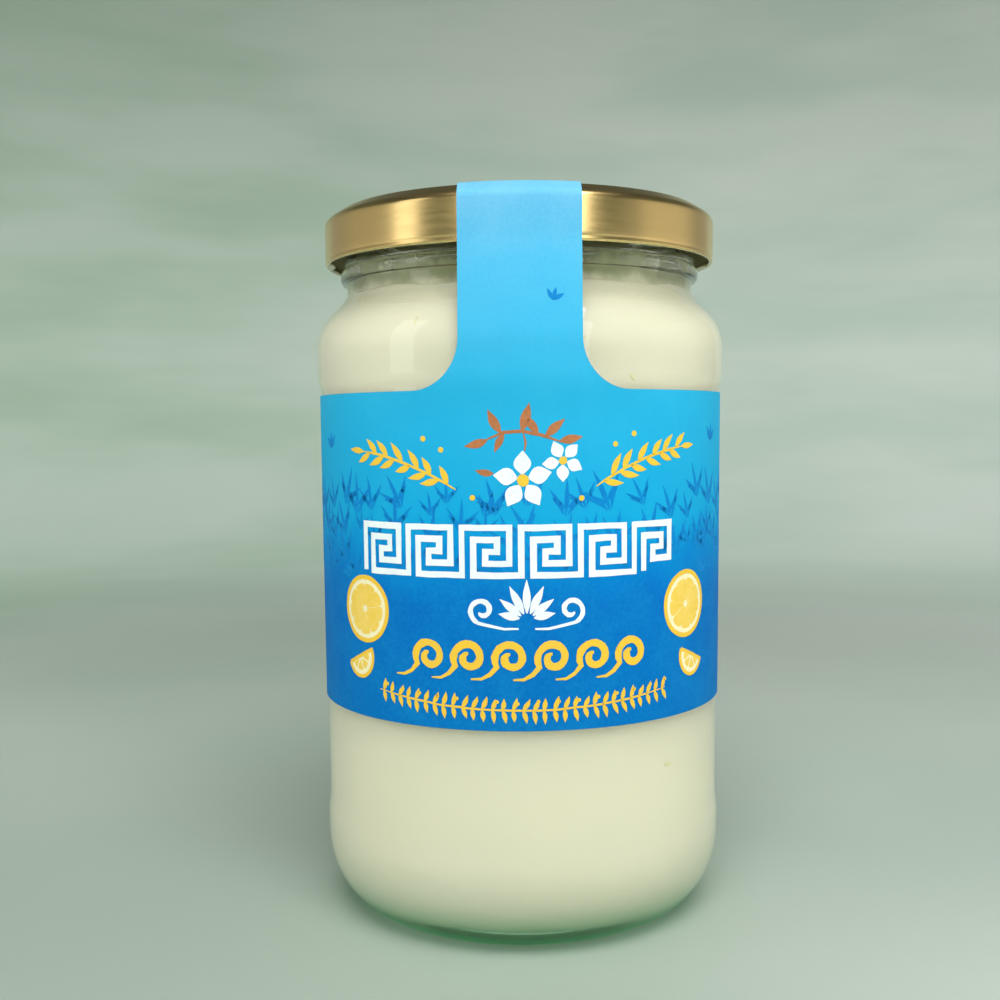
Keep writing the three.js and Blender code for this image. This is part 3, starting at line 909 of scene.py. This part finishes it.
# White print
# Flat white ink on the paper, brushed by hand: a key-pattern band, citrus blossom above it and a
# palmette between two scrolls below. Each stroke is a thin closed sheet laid on the label.
WHITE_LIFT = 0.05 * MM
KEY_CELL = 1.15
KEY_UNITS = 6
KEY_START = (-34.6, 77.7)
KEY_PATH = [(0, 0), (0, 8), (8, 8), (8, 2), (4, 2), (4, 4), (6, 4), (6, 6), (2, 6), (2, 0)]
BLOSSOMS = [((0.3, 95.9), 5.4, 20), ((8.0, 99.6), 3.9, 50)]
SLICE_STEP = 1.2 * MM
INK_SINK = 0.02 * MM
INK_EDGE_ANGLE = math.radians(40)
RAY_FROM_R = 60.0 * MM
HAND_WOBBLE = 0.35 * MM
HAND_SEED = 11
random.seed(HAND_SEED)


def ribbon(points, widths):
    """Quads along a line of points in label millimetres, mitred where it turns."""
    line = [Vector(point) for point in points]
    rungs = []
    for i, here in enumerate(line):
        before = (here - line[i - 1] if i else line[1] - here).normalized()
        after = (line[i + 1] - here if i + 1 < len(line) else before).normalized()
        along = (before + after).normalized()
        side = Vector((-along.y, along.x))
        reach = widths[i] / 2 / max(side.dot(Vector((-before.y, before.x))), 0.5)
        rungs.append((here + side * reach, here - side * reach))
    return [(low[0], high[0], high[1], low[1]) for low, high in zip(rungs, rungs[1:])]


def brushed(points, width, start=0.35, end=0.35):
    """A brush stroke that swells in the middle and thins at its two ends."""
    last = len(points) - 1
    shares = [min(1.0, start + 5 * i / last, end + 5 * (last - i) / last) for i in range(last + 1)]
    return ribbon(points, [width * share * random.uniform(0.88, 1.1) for share in shares])


def leaf(base, heading, length, width, curl=0.0):
    """A pointed leaf or petal. Heading and curl are in degrees, counted from across to up."""
    points = [Vector(base)]
    widths = [0.15 * width]
    for i in range(1, 9):
        angle = math.radians(heading + curl * i / 8)
        points.append(points[-1] + Vector((math.cos(angle), math.sin(angle))) * length / 8)
        widths.append(width * max(math.sin(math.pi * (i / 8) ** 0.85), 0.06))
    return ribbon(points, widths)


def disc(centre, radius, steps=18):
    """A round dot."""
    angles = [math.tau * i / steps for i in range(steps)]
    return [[Vector(centre) + radius * Vector((math.cos(a), math.sin(a))) for a in angles]]


def ring_arc(centre, radius, start, end, steps=20):
    """Points on part of a circle, angles in degrees."""
    return arc(centre[0], centre[1], radius, radius, start, end, steps)


def curl_line(centre, radius, inner, start, sweep, steps=26):
    """Points of a spiral that closes in on its centre, angles in degrees."""
    points = []
    for i in range(steps + 1):
        angle = math.radians(start + sweep * i / steps)
        size = mixed(radius, inner, i / steps)
        points.append((centre[0] + size * math.cos(angle), centre[1] + size * math.sin(angle)))
    return points


def flat_sheet(name, shapes):
    """A flat sheet of the shapes, cut into narrow slices so that it can bend round the jar."""
    editing = bmesh.new()
    for shape in shapes:
        editing.faces.new([editing.verts.new((x * MM, y * MM, 0)) for x, y in shape])
    bmesh.ops.remove_doubles(editing, verts=editing.verts, dist=WELD)
    bmesh.ops.dissolve_degenerate(editing, edges=editing.edges, dist=WELD)
    left = min(vertex.co.x for vertex in editing.verts)
    right = max(vertex.co.x for vertex in editing.verts)
    for i in range(1, int((right - left) / SLICE_STEP)):
        everything = editing.verts[:] + editing.edges[:] + editing.faces[:]
        place = (left + i * SLICE_STEP, 0, 0)
        bmesh.ops.bisect_plane(editing, geom=everything, plane_co=place, plane_no=(1, 0, 0), dist=WELD)
    bmesh.ops.recalc_face_normals(editing, faces=editing.faces)
    mesh = bpy.data.meshes.new(name)
    editing.to_mesh(mesh)
    editing.free()
    return mesh


def onto_label(tree, sheet, paper, lift, wobble):
    """Thickens a flat sheet and lays it on the label: across turns into angle, up stays up."""
    growth = upward(tree, maths(tree, "ADD", lift, INK_SINK))
    extruding = {"Mesh": sheet, "Offset": growth, "Individual": False}
    extrude = add_node(tree, "GeometryNodeExtrudeMesh", extruding)
    flipped = add_node(tree, "GeometryNodeFlipFaces", {"Mesh": sheet}).outputs[0]
    joined = add_node(tree, "GeometryNodeJoinGeometry")
    tree.links.new(extrude.outputs["Mesh"], joined.inputs[0])
    tree.links.new(flipped, joined.inputs[0])
    weld = {"Geometry": joined.outputs[0], "Distance": WELD}
    solid = add_node(tree, "GeometryNodeMergeByDistance", weld).outputs[0]
    place = add_node(tree, "GeometryNodeInputPosition").outputs[0]
    flat = vectors(tree, "MULTIPLY", place, (1, 1, 0))
    waver = {"Vector": flat, "Scale": 260.0, "Detail": 3.0}
    noise = add_node(tree, "ShaderNodeTexNoise", waver).outputs["Color"]
    stray = vectors(tree, "SUBTRACT", noise, (0.5, 0.5, 0.5))
    shaken = vectors(tree, "ADD", place, scaled(tree, stray, wobble))
    x, y, _ = add_node(tree, "ShaderNodeSeparateXYZ", {0: shaken}).outputs
    depth = add_node(tree, "ShaderNodeSeparateXYZ", {0: place}).outputs[2]
    angle = maths(tree, "DIVIDE", x, LABEL_R)
    away_x = maths(tree, "SINE", angle)
    away_y = maths(tree, "MULTIPLY", maths(tree, "COSINE", angle), -1.0)
    away = add_node(tree, "ShaderNodeCombineXYZ", {0: away_x, 1: away_y}).outputs[0]
    source = vectors(tree, "ADD", scaled(tree, away, RAY_FROM_R), upward(tree, y))
    ray = add_node(tree, "GeometryNodeRaycast", {
        "Target Geometry": paper, "Source Position": source,
        "Ray Direction": scaled(tree, away, -1.0), "Ray Length": RAY_FROM_R,
    })
    raised = scaled(tree, ray.outputs["Hit Normal"], maths(tree, "SUBTRACT", depth, INK_SINK))
    laid = vectors(tree, "ADD", ray.outputs["Hit Position"], raised)
    return add_node(tree, "GeometryNodeSetPosition", {"Geometry": solid, "Position": laid}).outputs[0]


def print_tree():
    """Lays one flat sheet of shapes on the label."""
    sizes = {"Label": "Object", "Lift": "Float", "Wobble": "Float", "Material": "Material"}
    tree, given = new_tree("print on label", sizes)
    paper = add_node(tree, "GeometryNodeObjectInfo", {"Object": given["Label"]}).outputs["Geometry"]
    laid = onto_label(tree, given["Geometry"], paper, given["Lift"], given["Wobble"])
    end_tree(tree, laid, given["Material"])
    return tree


def ink(name, colour, second):
    """Printing ink: matt, a little uneven, with the paper's fibres showing through."""
    material, tree, shader = new_material(name, Roughness=0.6, Specular_IOR_Level=0.12)
    grain = ramp(tree, speckle(tree, 1300.0, 3.0), 0.35, 0.75)
    drift = ramp(tree, speckle(tree, 260.0, 3.0), 0.35, 0.7)
    share = maths(tree, "MULTIPLY_ADD", grain, 0.5, maths(tree, "MULTIPLY", drift, 0.5))
    tree.links.new(blended(tree, share, colour, second), shader.inputs["Base Color"])
    paper_finish(tree, shader)
    return material


def lay_print(name, shapes, lift, material):
    """One piece of print: its flat sheet laid on the label, with crisp edges."""
    piece = grown(name, flat_sheet(name, shapes), print_tree(), {
        "Label": label, "Lift": lift, "Wobble": HAND_WOBBLE, "Material": material,
    })
    piece.data.set_sharp_from_angle(angle=INK_EDGE_ANGLE)
    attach(piece, "root")
    return piece


def key_band():
    """The key pattern: one path that turns in on itself and runs on into the next."""
    path = []
    for unit in range(KEY_UNITS):
        left = KEY_START[0] + 10 * unit * KEY_CELL
        path += [(left + x * KEY_CELL, KEY_START[1] + y * KEY_CELL) for x, y in KEY_PATH]
    return ribbon(path, [KEY_CELL * random.uniform(0.98, 1.16) for _ in path])


def blossom(centre, size, turn):
    """Five broad petals round a gap for the yellow eye."""
    shapes = []
    for i in range(5):
        heading = turn + 72 * i
        angle = math.radians(heading)
        base = (centre[0] + 0.22 * size * math.cos(angle), centre[1] + 0.22 * size * math.sin(angle))
        shapes += leaf(base, heading, 0.82 * size, 0.62 * size, random.uniform(-14, 14))
    return shapes


def palmette():
    """Seven petals in a fan over two outward scrolls."""
    shapes = []
    for heading, length in ((90, 6.4), (64, 5.9), (116, 5.9), (38, 5.2), (142, 5.2), (12, 4.2), (168, 4.2)):
        angle = math.radians(heading)
        base = (0.9 + 1.4 * math.cos(angle), 69.2 + 1.2 * math.sin(angle))
        shapes += leaf(base, heading, length, 1.55)
    for side in (1, -1):
        line = curl_line((0.9 + 8.6 * side, 70.9), 2.6, 0.7, 90 - 160 * side, 400 * side)
        shapes += brushed([(0.9 + 1.6 * side, 67.4), (0.9 + 4.2 * side, 67.3), *line], 0.95)
    return shapes


white_ink = ink("white ink", (0.72, 0.79, 0.78, 1), (0.60, 0.71, 0.74, 1))
white_shapes = key_band() + [petal for flower in BLOSSOMS for petal in blossom(*flower)] + palmette()
lay_print("print_white", white_shapes, WHITE_LIFT, white_ink)

# Yellow print
# Golden ink: a running scroll, a leafy garland under it, two sprigs above the key pattern, the eyes
# of the blossoms, and the rinds and leaves of the lemon slices.
YELLOW_LIFT = 0.055 * MM
SCROLL_PITCH = 8.2
SCROLL_WAVES = 6
EYE_SIZES = (1.15, 0.8)
HALF_SLICE_UNDER = 6.0
LEMONS = [
    ((-35.2, 69.6), 6.9, 90),
    ((37.6, 70.0), 6.9, 90),
    ((-37.2, 59.6), 4.4, 205),
    ((39.9, 59.2), 4.4, 158),
]


def running_scroll():
    """Waves that rise from a long tail and curl over to the right."""
    shapes = []
    for i in range(SCROLL_WAVES):
        x = 0.6 + SCROLL_PITCH * (i - SCROLL_WAVES / 2)
        line = curl_line((x + 5.4, 61.6), 3.3, 0.8, 212, -470)
        shapes += brushed([(x - 2.4, 57.4), (x - 0.4, 57.5), (x + 1.3, 58.4), *line], 1.45, 0.2, 0.3)
    return shapes


def garland():
    """A shallow hanging stem with small leaves on both sides."""
    stem = [(x, 51.4 + 2.3 * (x / 31) ** 2) for x in range(-31, 32)]
    shapes = brushed(stem, 0.4)
    for i in range(1, len(stem) - 1, 2):
        for side in (1, -1):
            heading = (58 if side > 0 else -62) + random.uniform(-12, 12)
            shapes += leaf(stem[i], heading, random.uniform(2.3, 2.9), 0.95, 20 * side)
        if i % 4 == 1:
            shapes += disc((stem[i + 1][0], stem[i + 1][1] + random.uniform(1.3, 1.7)), 0.38, 12)
    return shapes


def sprig(start, heading, length, curl, leaves, size):
    """A bent twig with leaves in turn on its two sides and one at its tip."""
    line = [Vector(start)]
    for i in range(24):
        angle = math.radians(heading + curl * i / 23)
        line.append(line[-1] + Vector((math.cos(angle), math.sin(angle))) * length / 24)
    shapes = brushed(line, 0.5)
    for k in range(leaves):
        i = 2 + round(20 * k / (leaves - 1))
        side = 1 if k % 2 else -1
        turn = heading + curl * i / 24 + 48 * side
        shapes += leaf(line[i], turn, size * random.uniform(0.85, 1.1), size * 0.3, -20 * side)
    return shapes + leaf(line[-1], heading + curl, size, size * 0.28)


def lemon_wheel(centre, size, turn):
    """The rind: a ring, or half a ring closed by a line for the half slices."""
    if size < HALF_SLICE_UNDER:
        rim = ring_arc(centre, size - 0.3, turn, turn + 180, 24)
        return ribbon([*rim, rim[0]], [0.75] * 26)
    return ribbon(ring_arc(centre, size - 0.4, 0, 360, 44), [0.9] * 45)


yellow_ink = ink("yellow ink", (0.73, 0.47, 0.035, 1), (0.66, 0.44, 0.06, 1))
yellow_shapes = running_scroll() + garland()
yellow_shapes += sprig((-12.6, 94.2), 150, 23.5, 24, 12, 4.4) + sprig((14.6, 94.6), 32, 22.5, -26, 12, 4.4)
for (middle, _, _), eye_size in zip(BLOSSOMS, EYE_SIZES):
    yellow_shapes += disc(middle, eye_size)
for dot in ((-15.6, 101.8), (-19.4, 103.9), (18.6, 102.6), (22.8, 104.6), (-9.4, 92.6), (11.6, 92.4)):
    yellow_shapes += disc(dot, 0.55, 12)
for lemon in LEMONS:
    yellow_shapes += lemon_wheel(*lemon)
lay_print("print_yellow", yellow_shapes, YELLOW_LIFT, yellow_ink)

# Lemon pith print
# The pale ground of each printed lemon slice, inside its yellow rind.
PITH_LIFT = 0.035 * MM


def pith_ground(centre, size, turn):
    """A disc, or half of one."""
    if size < HALF_SLICE_UNDER:
        return [[Vector(point) for point in ring_arc(centre, size - 0.3, turn, turn + 180, 18)]]
    return disc(centre, size - 0.4, 30)


pith_shapes = [shape for lemon in LEMONS for shape in pith_ground(*lemon)]
pith_ink = ink("pith ink", (0.76, 0.72, 0.46, 1), (0.70, 0.66, 0.40, 1))
lay_print("print_pith", pith_shapes, PITH_LIFT, pith_ink)

# Lemon segment print
# Golden wedges with rounded corners, nine in a whole slice and four in a half.
SEGMENT_LIFT = 0.06 * MM


def segments(centre, size, turn):
    """Wedges round the middle of a slice."""
    half = size < HALF_SLICE_UNDER
    count = 4 if half else 9
    share = (180 if half else 360) / count
    reach = size - 1.5
    shapes = []
    for i in range(count):
        heading = math.radians(turn + share * (i + 0.5) + random.uniform(-1.5, 1.5))
        half_width = reach * math.tan(math.radians(share / 2)) - 0.3
        along = Vector((math.cos(heading), math.sin(heading)))
        side = Vector((-along.y, along.x))
        start = Vector(centre) + along * (0.9 if half else 0.7)
        upper = [(0, 0.12), (0.72, 0.86), (0.9, 0.92), (1, 0.62), (1.03, 0)]
        outline = upper + [(way, -off) for way, off in reversed(upper[:-1])]
        stretch = along * (reach - 1.0)
        shapes.append([start + stretch * way + side * half_width * off for way, off in outline])
    return shapes


segment_shapes = [shape for lemon in LEMONS for shape in segments(*lemon)]
segment_ink = ink("segment ink", (0.70, 0.49, 0.07, 1), (0.74, 0.56, 0.14, 1))
lay_print("print_segments", segment_shapes, SEGMENT_LIFT, segment_ink)

# Brown print
# The blossom's twig with its leaves, in warm brown ink.
BROWN_LIFT = 0.045 * MM
brown_shapes = brushed([(-6.6, 103.6), (-3.4, 105.0), (0.4, 105.2), (4.0, 104.4), (7.4, 103.2)], 0.7)
brown_shapes += brushed([(0.4, 105.2), (0.9, 103.0), (0.6, 101.4)], 0.5)
for base, heading, length in (
    ((-6.4, 103.6), 205, 4.6), ((-3.8, 104.9), 128, 5.0), ((-3.2, 104.8), 238, 4.0),
    ((0.2, 105.2), 74, 5.4), ((3.2, 104.7), 122, 4.4), ((4.6, 104.2), 44, 5.0),
    ((7.3, 103.2), 12, 4.6), ((-5.2, 97.2), 176, 3.6),
):
    brown_shapes += leaf(base, heading, length, length * 0.36, random.uniform(-20, 20))
brown_ink = ink("brown ink", (0.40, 0.16, 0.06, 1), (0.30, 0.12, 0.05, 1))
lay_print("print_brown", brown_shapes, BROWN_LIFT, brown_ink)

# Blue leaf print
# Darker blue tufts of long leaves, printed in a loose band all round the label behind the other
# motifs where the blue deepens. A few small three-leaved ones stand by themselves.
LEAF_LIFT = 0.025 * MM
LEAF_ROWS = (78.5, 84.0, 89.5)
LEAF_COUNT = 50
LEAF_SEED = 5
LEAF_STRAY = (2.4 * MM, 2.2 * MM)
LEAF_TILT = 0.45
LEAF_GRADES = (0.6, 1.15)
BAND_SHARE = 0.985


def random_vector(tree, low, high, seed):
    """A random vector for each point."""
    inputs = {0: low, 1: high, "Seed": seed}
    return add_node(tree, "FunctionNodeRandomValue", inputs, data_type="FLOAT_VECTOR").outputs[0]


def leaf_band_tree():
    """Instances of one flat tuft on a wavering lattice, laid on the label together."""
    sizes = {"Label": "Object", "Lift": "Float", "Count": "Int", "Seed": "Int", "Material": "Material"}
    tree, given = new_tree("leaf band", sizes)
    paper = add_node(tree, "GeometryNodeObjectInfo", {"Object": given["Label"]}).outputs["Geometry"]
    grid = add_node(tree, "GeometryNodeMeshGrid", {
        "Size X": math.tau * LABEL_R * BAND_SHARE, "Size Y": (LEAF_ROWS[-1] - LEAF_ROWS[0]) * MM,
        "Vertices X": given["Count"], "Vertices Y": len(LEAF_ROWS),
    }).outputs[0]
    middle = (LEAF_ROWS[0] + LEAF_ROWS[-1]) / 2 * MM
    aside, above = LEAF_STRAY
    stray = random_vector(tree, (-aside, middle - above, 0), (aside, middle + above, 0), given["Seed"])
    turn = random_vector(tree, (0, 0, -LEAF_TILT), (0, 0, LEAF_TILT), given["Seed"])
    placed = add_node(tree, "GeometryNodeInstanceOnPoints", {
        "Points": moved(tree, grid, stray), "Instance": given["Geometry"],
        "Rotation": turn, "Scale": random_number(tree, *LEAF_GRADES, given["Seed"]),
    }).outputs[0]
    real = add_node(tree, "GeometryNodeRealizeInstances", {"Geometry": placed}).outputs[0]
    end_tree(tree, onto_label(tree, real, paper, given["Lift"], 0.0), given["Material"])
    return tree


def three_leaves(centre, turn, size):
    """Three leaves that fan out from one point."""
    return [quad for off in (-42, 0, 42) for quad in leaf(centre, turn + off, size, size * 0.34)]


blue_ink = ink("blue ink", (0.0, 0.17, 0.475, 1), (0.0, 0.22, 0.52, 1))
tuft_shapes = leaf((0.0, 0.0), 88, 7.6, 0.95, 10) + leaf((-0.4, 0.2), 112, 6.0, 0.9, 24)
tuft_shapes += leaf((0.4, 0.2), 68, 6.4, 0.9, -22) + leaf((-0.2, 1.4), 138, 3.6, 1.1, 16)
tuft_shapes += leaf((0.3, 1.8), 40, 3.6, 1.1, -12)
band = grown("print_leaf_band", flat_sheet("leaf tuft", tuft_shapes), leaf_band_tree(), {
    "Label": label, "Lift": LEAF_LIFT, "Count": LEAF_COUNT, "Seed": LEAF_SEED, "Material": blue_ink,
})
band.data.set_sharp_from_angle(angle=INK_EDGE_ANGLE)
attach(band, "root")
single_shapes = []
for foot, heading, length in (
    ((6.2, 129.6), 74, 2.5), ((-48.5, 102.0), 95, 3.4), ((48.5, 103.0), 82, 3.4),
    ((-40.2, 76.0), 128, 3.6), ((42.8, 76.2), 55, 3.6),
):
    single_shapes += three_leaves(foot, heading, length)
lay_print("print_blue", single_shapes, LEAF_LIFT, blue_ink)

# Studio
# A pale sage sweep that rises all round behind a flat floor, grey at the sides and darker behind the
# camera. A broad soft box lights the front, a narrow one the left, and a large one hangs overhead. A
# weak fill at each side isn't mirrored in the jar.
FLOOR_FLAT_R = 0.75
SWEEP_WALL_R = 1.15
SWEEP_TOP_Z = 1.6
DARK_FROM = math.radians(-57)
DARK_TO = math.radians(66)
SAGE_FROM = math.radians(140)
BRIGHT_FROM = math.radians(68)
BRIGHT_TO = math.radians(122)
PAINTED_WALL_GLOW = 0.5
LIGHTS_AIM = (0, 0, 0.08)


def sweep_material():
    """Unevenly brushed sage paint behind the jar, grey at the sides, darker behind the camera and near the
    top. Its left half and the floor in front on the left are darker as painted shade, and it glows as
    painted light away from the jar.
    """
    material, tree, shader = new_material("painted sweep", Roughness=0.75)
    x, y, z, r = object_place(tree)
    azimuth = maths(tree, "ARCTAN2", x, maths(tree, "MULTIPLY", y, -1.0))
    brushing = ramp(tree, speckle(tree, 5.0, 3.0, (0.6, 0.6, 2.4)), 0.3, 0.7)
    right = blended(tree, brushing, (0.36, 0.45, 0.385, 1), (0.44, 0.50, 0.45, 1))
    # Painted shade: the left half is a darker sage than the right, as if lit from the right.
    left = blended(tree, brushing, (0.28, 0.375, 0.295, 1), (0.36, 0.44, 0.375, 1))
    sage = blended(tree, ramp(tree, x, -0.4, 0.2), left, right)
    # Painted shadow: the floor and wall in front of the jar on its left are darker.
    front = product(tree, ramp(tree, y, -0.1, 0.2, 1.0, 0.0), ramp(tree, x, 0.0, 0.1, 0.9, 0.0))
    sage = blended(tree, front, sage, (0.27, 0.345, 0.29, 1))
    turn = maths(tree, "ABSOLUTE", azimuth)
    aside = maths(tree, "LESS_THAN", turn, SAGE_FROM)
    neutral = product(tree, aside, ramp(tree, r, 0.55, 0.65))
    rising = ramp(tree, turn, BRIGHT_FROM, BRIGHT_FROM + 0.15)
    # The patches at the sides are paler, the right one most, and glow as painted light for the lid to
    # mirror.
    bright = product(tree, rising, ramp(tree, turn, BRIGHT_TO - 0.3, BRIGHT_TO, 1.0, 0.0))
    flank = blended(tree, ramp(tree, x, -0.1, 0.1), (0.38, 0.375, 0.35, 1), (0.54, 0.52, 0.49, 1))
    side = blended(tree, bright, (0.30, 0.305, 0.295, 1), flank)
    pale = blended(tree, neutral, sage, side)
    after = ramp(tree, azimuth, DARK_FROM - 0.08, DARK_FROM + 0.08)
    before = ramp(tree, azimuth, DARK_TO - 0.08, DARK_TO + 0.08, 1.0, 0.0)
    far = ramp(tree, y, -FLOOR_FLAT_R, -0.4, 1.0, 0.0)
    dark = product(tree, after, before, far)
    high = ramp(tree, z, 0.55, 0.85)
    colour = blended(tree, maths(tree, "MAXIMUM", dark, high), pale, (0.14, 0.16, 0.145, 1))
    tree.links.new(colour, shader.inputs["Base Color"])
    # Painted light: the sweep glows in its own colour, not at all near the jar, and less towards its top.
    tree.links.new(colour, shader.inputs["Emission Color"])
    painted_glow_fading = ramp(tree, z, 0.1, 0.6, 1.0, 0.22)
    painted_glow = product(tree, ramp(tree, r, 0.3, 0.8, 0.0, PAINTED_WALL_GLOW), painted_glow_fading)
    tree.links.new(painted_glow, shader.inputs["Emission Strength"])
    return material


def studio_sweep():
    """A round floor that curves up into a wall."""
    rounding = SWEEP_WALL_R - FLOOR_FLAT_R
    outline = [
        *straight((0.0, 0.0), (FLOOR_FLAT_R, 0.0), 4),
        *arc(FLOOR_FLAT_R, rounding, rounding, rounding, -90, 0, 16),
        (SWEEP_WALL_R, SWEEP_TOP_Z),
    ]
    tree, given = new_tree("studio sweep", {"Steps": "Int", "Material": "Material"})
    end_tree(tree, swept(tree, given["Geometry"], given["Steps"]), given["Material"])
    sizes = {"Steps": 96, "Material": sweep_material()}
    return grown("studio_sweep", profile_mesh("sweep outline", outline), tree, sizes)


def soft_box(name, azimuth, distance, height, width, tall, power, colour, mirrored=True):
    """A soft area light that faces the jar, mirrored in it or not. Azimuth 0 is in front."""
    light = bpy.data.lights.new(name, "AREA")
    light.shape = "RECTANGLE"
    light.size = width
    light.size_y = tall
    light.energy = power
    light.color = colour
    lamp = bpy.data.objects.new(name, light)
    angle = math.radians(azimuth)
    lamp.location = (distance * math.sin(angle), -distance * math.cos(angle), height)
    lamp.rotation_euler = (Vector(LIGHTS_AIM) - lamp.location).to_track_quat("-Z", "Y").to_euler()
    lamp.visible_camera = False
    lamp.visible_glossy = mirrored
    bpy.context.scene.collection.objects.link(lamp)


studio_sweep()
soft_box("left soft box", -65, 0.75, 0.30, 0.21, 0.70, 0.60, (1.0, 0.97, 0.95))
soft_box("front soft box", 5, 0.80, 0.40, 1.07, 0.60, 5.1, (1.0, 0.97, 0.95))
soft_box("top soft box", 11, 0.50, 0.90, 0.75, 0.55, 9.9, (1.0, 0.97, 0.96))
soft_box("left fill", -86, 0.80, 0.20, 0.50, 0.50, 2.6, (1.0, 0.98, 0.96), mirrored=False)
soft_box("right fill", 86, 0.80, 0.20, 0.50, 0.50, 2.6, (1.0, 0.98, 0.96), mirrored=False)
world = bpy.data.worlds.new("studio air")
world.use_nodes = True
world.node_tree.nodes["Background"].inputs["Color"].default_value = (0.97, 1.0, 0.98, 1)
world.node_tree.nodes["Background"].inputs["Strength"].default_value = 0.08
bpy.context.scene.world = world
bpy.context.scene.view_settings.view_transform = "Standard"

# Camera
# It stands a hand's length in front, a little under the lid's height, and looks slightly down.
CAMERA_PLACE = (-1.3 * MM, -274.4 * MM, 105.8 * MM)
CAMERA_YAW = math.radians(0.71)
CAMERA_PITCH = math.radians(5.74)
CAMERA_ROLL = math.radians(-0.50)
CAMERA_LENS = 43.61
CAMERA_SENSOR = 36.0
FRAME_SHIFT_UP = 0.05
camera = bpy.data.objects.new("camera", bpy.data.cameras.new("camera"))
camera.data.lens = CAMERA_LENS
camera.data.sensor_width = CAMERA_SENSOR
camera.data.shift_y = FRAME_SHIFT_UP
camera.data.clip_start = 0.01
camera.data.clip_end = 20.0
aim = Matrix.Rotation(CAMERA_YAW, 4, "Z") @ Matrix.Rotation(math.pi / 2 - CAMERA_PITCH, 4, "X")
camera.matrix_world = Matrix.Translation(CAMERA_PLACE) @ aim @ Matrix.Rotation(CAMERA_ROLL, 4, "Z")
bpy.context.scene.collection.objects.link(camera)
bpy.context.scene.camera = camera
